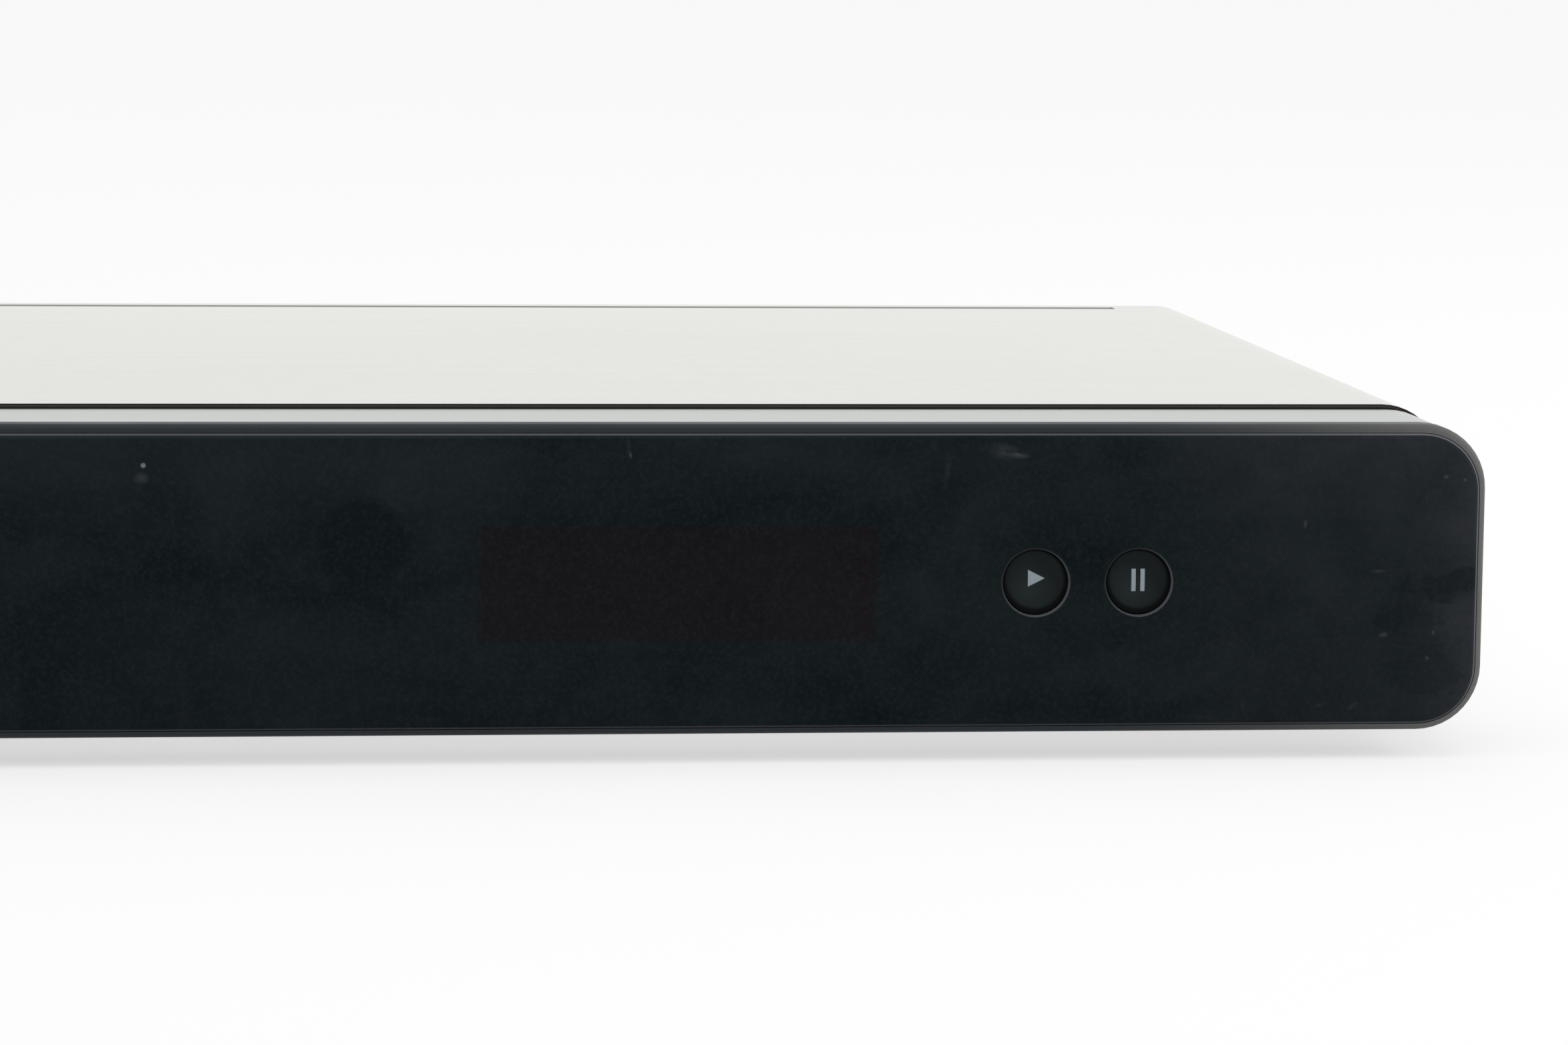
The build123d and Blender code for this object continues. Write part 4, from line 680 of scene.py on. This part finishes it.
def jack_colours():
    """Coloured rings round the phono sockets, one colour for each place along the row."""
    paint = Paint("coloured_jack_rings", 0.34, specular=0.45)
    yellow, white, red = (0.70, 0.47, 0.03), (0.62, 0.62, 0.58), (0.46, 0.025, 0.02)
    green, blue, orange = (0.02, 0.22, 0.06), (0.02, 0.07, 0.36), (0.60, 0.16, 0.02)
    colours = [yellow, white, red, green, blue, red, orange]
    low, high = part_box("jack_rings")
    ring = high[2] - low[2]
    pitch = (high[0] - low[0] - ring) / (len(colours) - 1)
    first = low[0] + ring / 2
    colour = colours[0]
    for place, later in enumerate(colours[1:]):
        edge = first + (place + 0.5) * pitch
        colour = paint.mix(paint.span(paint.x, edge - 0.1 * MM, edge + 0.1 * MM), colour, later)
    grain = paint.noise(4200.0)
    paint.bump(grain, strength=0.2, distance=0.01 * MM)
    return paint.finish(paint.layer(colour, BLACK, grain, 0.22), paint.vary(grain, 0.28, 0.42))


def screw_steel():
    """Black zinc screws: fine lathe marks and grime."""
    paint = Paint("black_zinc_screws", 0.36, metallic=0.8)
    darkening = paint.noise(900.0, detail=3.0, roughness=0.6)
    marks = paint.noise(stretch=(300.0, 8000.0, 300.0))
    paint.bump(marks, strength=0.2, distance=0.01 * MM)
    colour = paint.shaded((0.11, 0.11, 0.115), 0.35, darkening)
    return paint.finish(colour, paint.vary(darkening, 0.3, 0.5))


# Materials of the insides


def capacitor_sleeve():
    """Dark shrink sleeves with pale stripes, and bare aluminium tops."""
    paint = Paint("capacitor_sleeve", 0.3, specular=0.45)
    dark_blue, pale = (0.015, 0.017, 0.05), (0.45, 0.46, 0.48)
    bare = (0.55, 0.56, 0.57)
    wrinkle = paint.noise(700.0, detail=3.0, roughness=0.6)
    paint.bump(wrinkle, strength=0.15, distance=0.05 * MM)
    round_the_can = paint.math("PINGPONG", paint.plus(paint.x, paint.y), 9 * MM)
    stripes = paint.span(round_the_can, *mm(7.6, 8.0))
    sleeve = paint.shaded(dark_blue, 0.2, wrinkle)
    sleeve = paint.layer(sleeve, pale, stripes, 0.7)
    top = paint.span(paint.facing("Z"), 0.9, 0.95)
    colour = paint.mix(top, sleeve, bare)
    return paint.finish(colour, paint.vary(wrinkle, 0.24, 0.38))


def wound_core():
    """A transformer: dark ferrite round yellow tape, which shows its wrapped turns."""
    paint = Paint("taped_winding", 0.45, specular=0.4)
    x, y, _ = middle("power_transformer")
    half_width, half_depth, turn = mm(16, 7, 1.1)
    core = paint.times(
        paint.within(paint.y, y - half_depth, y + half_depth),
        paint.within(paint.x, x - half_width, x + half_width),
    )
    turns = paint.math("PINGPONG", paint.z, turn)
    tape = paint.shaded((0.60, 0.40, 0.05), 0.25, paint.span(turns, 0.0, turn))
    grit = paint.noise(3000.0, detail=3.0, roughness=0.7)
    ferrite = paint.shaded((0.030, 0.030, 0.031), 0.4, grit)
    paint.bump(turns, strength=0.3, distance=0.2 * MM)
    return paint.finish(paint.mix(core, tape, ferrite), paint.vary(grit, 0.38, 0.52))


def striped_cable():
    """Pale flat cable and its sockets: the conductors show as fine lines along the run."""
    paint = Paint("pale_flat_cable", 0.42, specular=0.45)
    sheath, conductor = (0.72, 0.72, 0.68), (0.46, 0.46, 0.45)
    shade = (0.1, 0.1, 0.1)
    lines = paint.span(paint.math("PINGPONG", paint.x, 0.5 * MM), *mm(0.15, 0.35))
    grain = paint.noise(3600.0)
    paint.bump(lines, strength=0.3, distance=0.1 * MM)
    colour = paint.mix(lines, sheath, conductor)
    colour = paint.layer(colour, shade, grain, 0.15)
    return paint.finish(colour, paint.vary(grain, 0.36, 0.5))


def epoxy():
    """Moulded chip bodies: fine filler grain."""
    paint = Paint("chip_epoxy", 0.55, specular=0.35)
    grain = paint.noise(5200.0, detail=3.0, roughness=0.7)
    paint.bump(grain, strength=0.3, distance=0.01 * MM)
    colour = paint.shaded((0.016, 0.016, 0.017), 0.35, grain)
    return paint.finish(colour, paint.vary(grain, 0.48, 0.62))


def extruded():
    """Extruded aluminium: drawn lines along the fins."""
    paint = Paint("extruded_aluminium", 0.34, metallic=1.0)
    lines = paint.noise(detail=3.0, roughness=0.6, stretch=(40.0, 1600.0, 1600.0))
    paint.bump(lines, strength=0.25, distance=0.03 * MM)
    colour = paint.shaded((0.66, 0.67, 0.68), 0.12, lines)
    return paint.finish(colour, paint.vary(lines, 0.28, 0.42))


def display_glass():
    """The dark face of the display, with the faint rows of its segments."""
    paint = Paint("display_glass", 0.12)
    columns = paint.span(paint.math("PINGPONG", paint.x, 2.4 * MM), *mm(1.9, 2.0))
    rows = paint.span(paint.math("PINGPONG", paint.z, 3.4 * MM), *mm(2.9, 3.0))
    mesh = paint.noise(4200.0, detail=1.0)
    colour = paint.mix(paint.union(columns, rows), (0.012, 0.018, 0.018), (0.03, 0.04, 0.038))
    return paint.finish(paint.layer(colour, BLACK, mesh, 0.2), paint.vary(mesh, 0.08, 0.18))


black = moulding("black_moulding", (0.024, 0.024, 0.026), 0.5)
tray_black = moulding("tray_moulding", (0.026, 0.027, 0.030), 0.42, grain=4200.0)
acetal = moulding("pale_acetal", (0.72, 0.71, 0.66), 0.42, grain=2600.0, wear=0.06)
steel = zinc_sheet()
bright_steel = turned("ground_steel", (0.60, 0.60, 0.60), 0.2)
nickel = turned("nickel_plate", (0.66, 0.63, 0.57), 0.22)
aluminium = extruded()
green_board = circuit("green_board", (0.010, 0.075, 0.030), (0.025, 0.14, 0.05))
tan_board = circuit("tan_board", (0.34, 0.21, 0.09), (0.42, 0.28, 0.13))
clear = tinted("clear_light_pipe", (0.060, 0.066, 0.068), 0.22)
lens = tinted("coated_lens", (0.10, 0.12, 0.26), 0.06)
smoke_red = tinted("dark_red_film", (0.020, 0.004, 0.004), 0.14)
foot_rubber = soft_rubber("pad_rubber", (0.022, 0.022, 0.023))
belt_rubber = soft_rubber("belt_rubber", (0.016, 0.016, 0.016))
flat_cable = striped_cable()
finishes = {
    "front_bezel": grained_bezel(),
    "front_plate": gloss_plate(),
    "tray_lid": gloss_lid(),
    "play_button": key_cap("play_key", "play_button", play_sign),
    "pause_button": key_cap("pause_key", "pause_button", pause_sign),
    "standby_button": key_cap("standby_key", "standby_button", standby_sign),
    "open_close_button": key_cap("open_close_key", "open_close_button", eject_sign),
    "front_trim": silver_trim(),
    "cover_gasket": foam(),
    "top_cover": silver_cover(),
    "bottom_chassis": steel,
    "rear_panel": rear_paint(),
    "feet": black,
    "foot_pads": foot_rubber,
    "screws": screw_steel(),
    "display_filter": smoke_red,
    "receiver_filter": smoke_red,
    "display_module": display_glass(),
    "remote_receiver": black,
    "standby_lamp": clear,
    "light_pipe": lamp_lens(),
    "tact_switches": black,
    "front_board": green_board,
    "standby_board": green_board,
    "main_board": green_board,
    "power_board": tan_board,
    "jack_housings": black,
    "jack_shells": nickel,
    "jack_rings": jack_colours(),
    "hdmi_socket": nickel,
    "lan_socket": nickel,
    "mains_inlet": black,
    "inlet_pins": nickel,
    "board_chips": epoxy(),
    "decoder_heatsink": aluminium,
    "capacitors": capacitor_sleeve(),
    "power_transformer": wound_core(),
    "power_heatsink": aluminium,
    "cable_sockets": flat_cable,
    "ribbon_cable": flat_cable,
    "loader_frame": black,
    "clamp_bridge": steel,
    "clamper": acetal,
    "disc_tray": tray_black,
    "tray_gear": acetal,
    "pulley_gear": acetal,
    "motor_pulley": acetal,
    "loading_motor": steel,
    "drive_belt": belt_rubber,
    "lift_frame": black,
    "cam_slider": acetal,
    "dampers": belt_rubber,
    "traverse_plate": steel,
    "guide_rails": bright_steel,
    "spindle_motor": steel,
    "turntable": black,
    "pickup_sled": aluminium,
    "objective_lens": lens,
    "lead_screw": bright_steel,
    "sled_motor": steel,
}
for name, material in finishes.items():
    for slot in nodes[name].material_slots:
        slot.material = material


def loose_parts(mesh):
    """The corner points of each separate solid in a mesh."""
    owner = list(range(len(mesh.vertices)))

    def root(corner):
        while owner[corner] != corner:
            owner[corner] = owner[owner[corner]]
            corner = owner[corner]
        return corner

    for edge in mesh.edges:
        a, b = (root(corner) for corner in edge.vertices)
        owner[a] = b
    parts = {}
    for corner in mesh.vertices:
        parts.setdefault(root(corner.index), []).append(corner.co)
    return parts.values()


def cross_recess(points, arm=1.7 * MM, width=0.35 * MM, sink=0.3 * MM, proud=0.02 * MM):
    """Two flat bars that cross on a screw's head, as the low and high corners of boxes."""
    low = [min(point[axis] for point in points) for axis in range(3)]
    high = [max(point[axis] for point in points) for axis in range(3)]
    along = max(range(3), key=lambda axis: high[axis] - low[axis])
    for long_way in (axis for axis in range(3) if axis != along):
        reach = [width] * 3
        reach[long_way] = arm
        start = [(a + b) / 2 - half for a, b, half in zip(low, high, reach)]
        stop = [(a + b) / 2 + half for a, b, half in zip(low, high, reach)]
        start[along], stop[along] = high[along] - sink, high[along] + proud
        yield start, stop


# A box's faces by its corners, which count up along Z, then Y, then X
BOX_FACES = (0, 1, 3, 2), (4, 6, 7, 5), (0, 4, 5, 1), (2, 3, 7, 6), (0, 2, 6, 4), (1, 5, 7, 3)


def add_boxes(name, boxes, material, body):
    """One piece made of square-edged boxes, which rides on a body."""
    corners, faces = [], []
    for box in boxes:
        faces += [[len(corners) + corner for corner in face] for face in BOX_FACES]
        xs, ys, zs = zip(*box)
        corners += [(x, y, z) for x in xs for y in ys for z in zs]
    mesh = bpy.data.meshes.new(name)
    mesh.from_pydata(corners, [], faces)
    mesh.materials.append(material)
    piece = bpy.data.objects.new(name, mesh)
    scene.collection.objects.link(piece)
    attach(piece, body)


# Screws: painted shade of a cross recess on each head, as two flat dark bars
screw_parts = loose_parts(nodes["screws"].data)
recesses = [box for points in screw_parts for box in cross_recess(points)]
# Painted shade: the dark bars stand in for the shade inside each recess
darkening = soft_rubber("recess_painted_shade", (0.008, 0.008, 0.008))
add_boxes("screw_recesses", recesses, darkening, "case")

# Floor: a wide pale sheet that glows for the rays that see it, so only a light version of the
# object's shadow shows
WATCHING_RAYS = "Is Camera Ray", "Is Glossy Ray", "Is Transmission Ray"
FLOOR_SIZE = 60.0
FLOOR_GLOW = 0.6
bpy.ops.mesh.primitive_plane_add(size=FLOOR_SIZE)
floor = bpy.context.object
floor.name = "floor"
sheet = Paint("pale_floor", 0.9, specular=0.1)
sheet.finish(sheet.shaded((0.93, 0.93, 0.93), 0.004, sheet.noise(3.0)))
sight = sheet.node("ShaderNodeLightPath").outputs
watched = sheet.union(*[sight[ray] for ray in WATCHING_RAYS])
glowing = sheet.node("ShaderNodeMixShader")
sheet.feed(glowing.inputs["Fac"], sheet.times(watched, FLOOR_GLOW))
sheet.feed(glowing.inputs[1], sheet.shader.outputs["BSDF"])
sheet.feed(glowing.inputs[2], sheet.node("ShaderNodeEmission").outputs["Emission"])
surface = sheet.tree.nodes["Material Output"].inputs["Surface"]
sheet.feed(surface, glowing.outputs["Shader"])
floor.data.materials.append(sheet.material)

# Light: an even room that looks white and gives a dimmer light, one broad lamp from the upper
# left and a soft panel on the right
ROOM_LIGHT = 0.58
world = bpy.data.worlds.new("studio")
world.use_nodes = True
sky = world.node_tree
room = sky.nodes["Background"]
room.inputs["Color"].default_value = (1.0, 1.0, 1.0, 1.0)
sight = sky.nodes.new("ShaderNodeLightPath").outputs
watched = sight[WATCHING_RAYS[0]]
for ray in WATCHING_RAYS[1:]:
    larger = sky.nodes.new("ShaderNodeMath")
    larger.operation = "MAXIMUM"
    sky.links.new(watched, larger.inputs[0])
    sky.links.new(sight[ray], larger.inputs[1])
    watched = larger.outputs["Value"]
brightness = sky.nodes.new("ShaderNodeMapRange")
brightness.inputs["To Min"].default_value = ROOM_LIGHT
sky.links.new(watched, brightness.inputs["Value"])
sky.links.new(brightness.outputs["Result"], room.inputs["Strength"])
scene.world = world


def add_lamp(name, kind, energy, place, aim):
    """A lamp at a place that points along a direction."""
    lamp = bpy.data.objects.new(name, bpy.data.lights.new(name, kind))
    lamp.data.energy = energy
    lamp.location = place
    lamp.rotation_euler = Vector(aim).to_track_quat("-Z", "Y").to_euler()
    scene.collection.objects.link(lamp)
    return lamp.data


broad = add_lamp("broad_lamp", "SUN", 1.2, place=(-1.0, -1.0, 2.0), aim=(0.40, 0.40, -1.0))
broad.angle = math.radians(80.0)
soft_panel = add_lamp("soft_panel", "AREA", 16.0, place=(1.9, -0.5, 0.9), aim=(-1.75, 0.45, -0.85))
soft_panel.size = 1.4

# Camera: in front of the panel's middle, above the player, and turned a little to the right and
# down, as fitted to the photograph
CAMERA_PLACE = (-0.00024, -0.98822, 0.14490)
YAW, PITCH, ROLL = 0.11320, 0.11968, 0.01152
SENSOR_WIDTH, FOCAL_LENGTH = 36.0, 119.456
FAR_CLIP = 100.0
flat_ahead = Vector((math.sin(YAW), math.cos(YAW), 0.0))
ahead = math.cos(PITCH) * flat_ahead - math.sin(PITCH) * Vector((0.0, 0.0, 1.0))
level = Vector((math.cos(YAW), -math.sin(YAW), 0.0))
rise = level.cross(ahead)
right = math.cos(ROLL) * level + math.sin(ROLL) * rise
up = math.cos(ROLL) * rise - math.sin(ROLL) * level
lens_data = bpy.data.cameras.new("camera")
lens_data.sensor_width = SENSOR_WIDTH
lens_data.lens = FOCAL_LENGTH
lens_data.clip_end = FAR_CLIP
camera = bpy.data.objects.new("camera", lens_data)
turn = Matrix((right, up, -ahead)).transposed().to_4x4()
camera.matrix_world = Matrix.Translation(CAMERA_PLACE) @ turn
scene.collection.objects.link(camera)
scene.camera = camera
scene.view_settings.view_transform = "Standard"
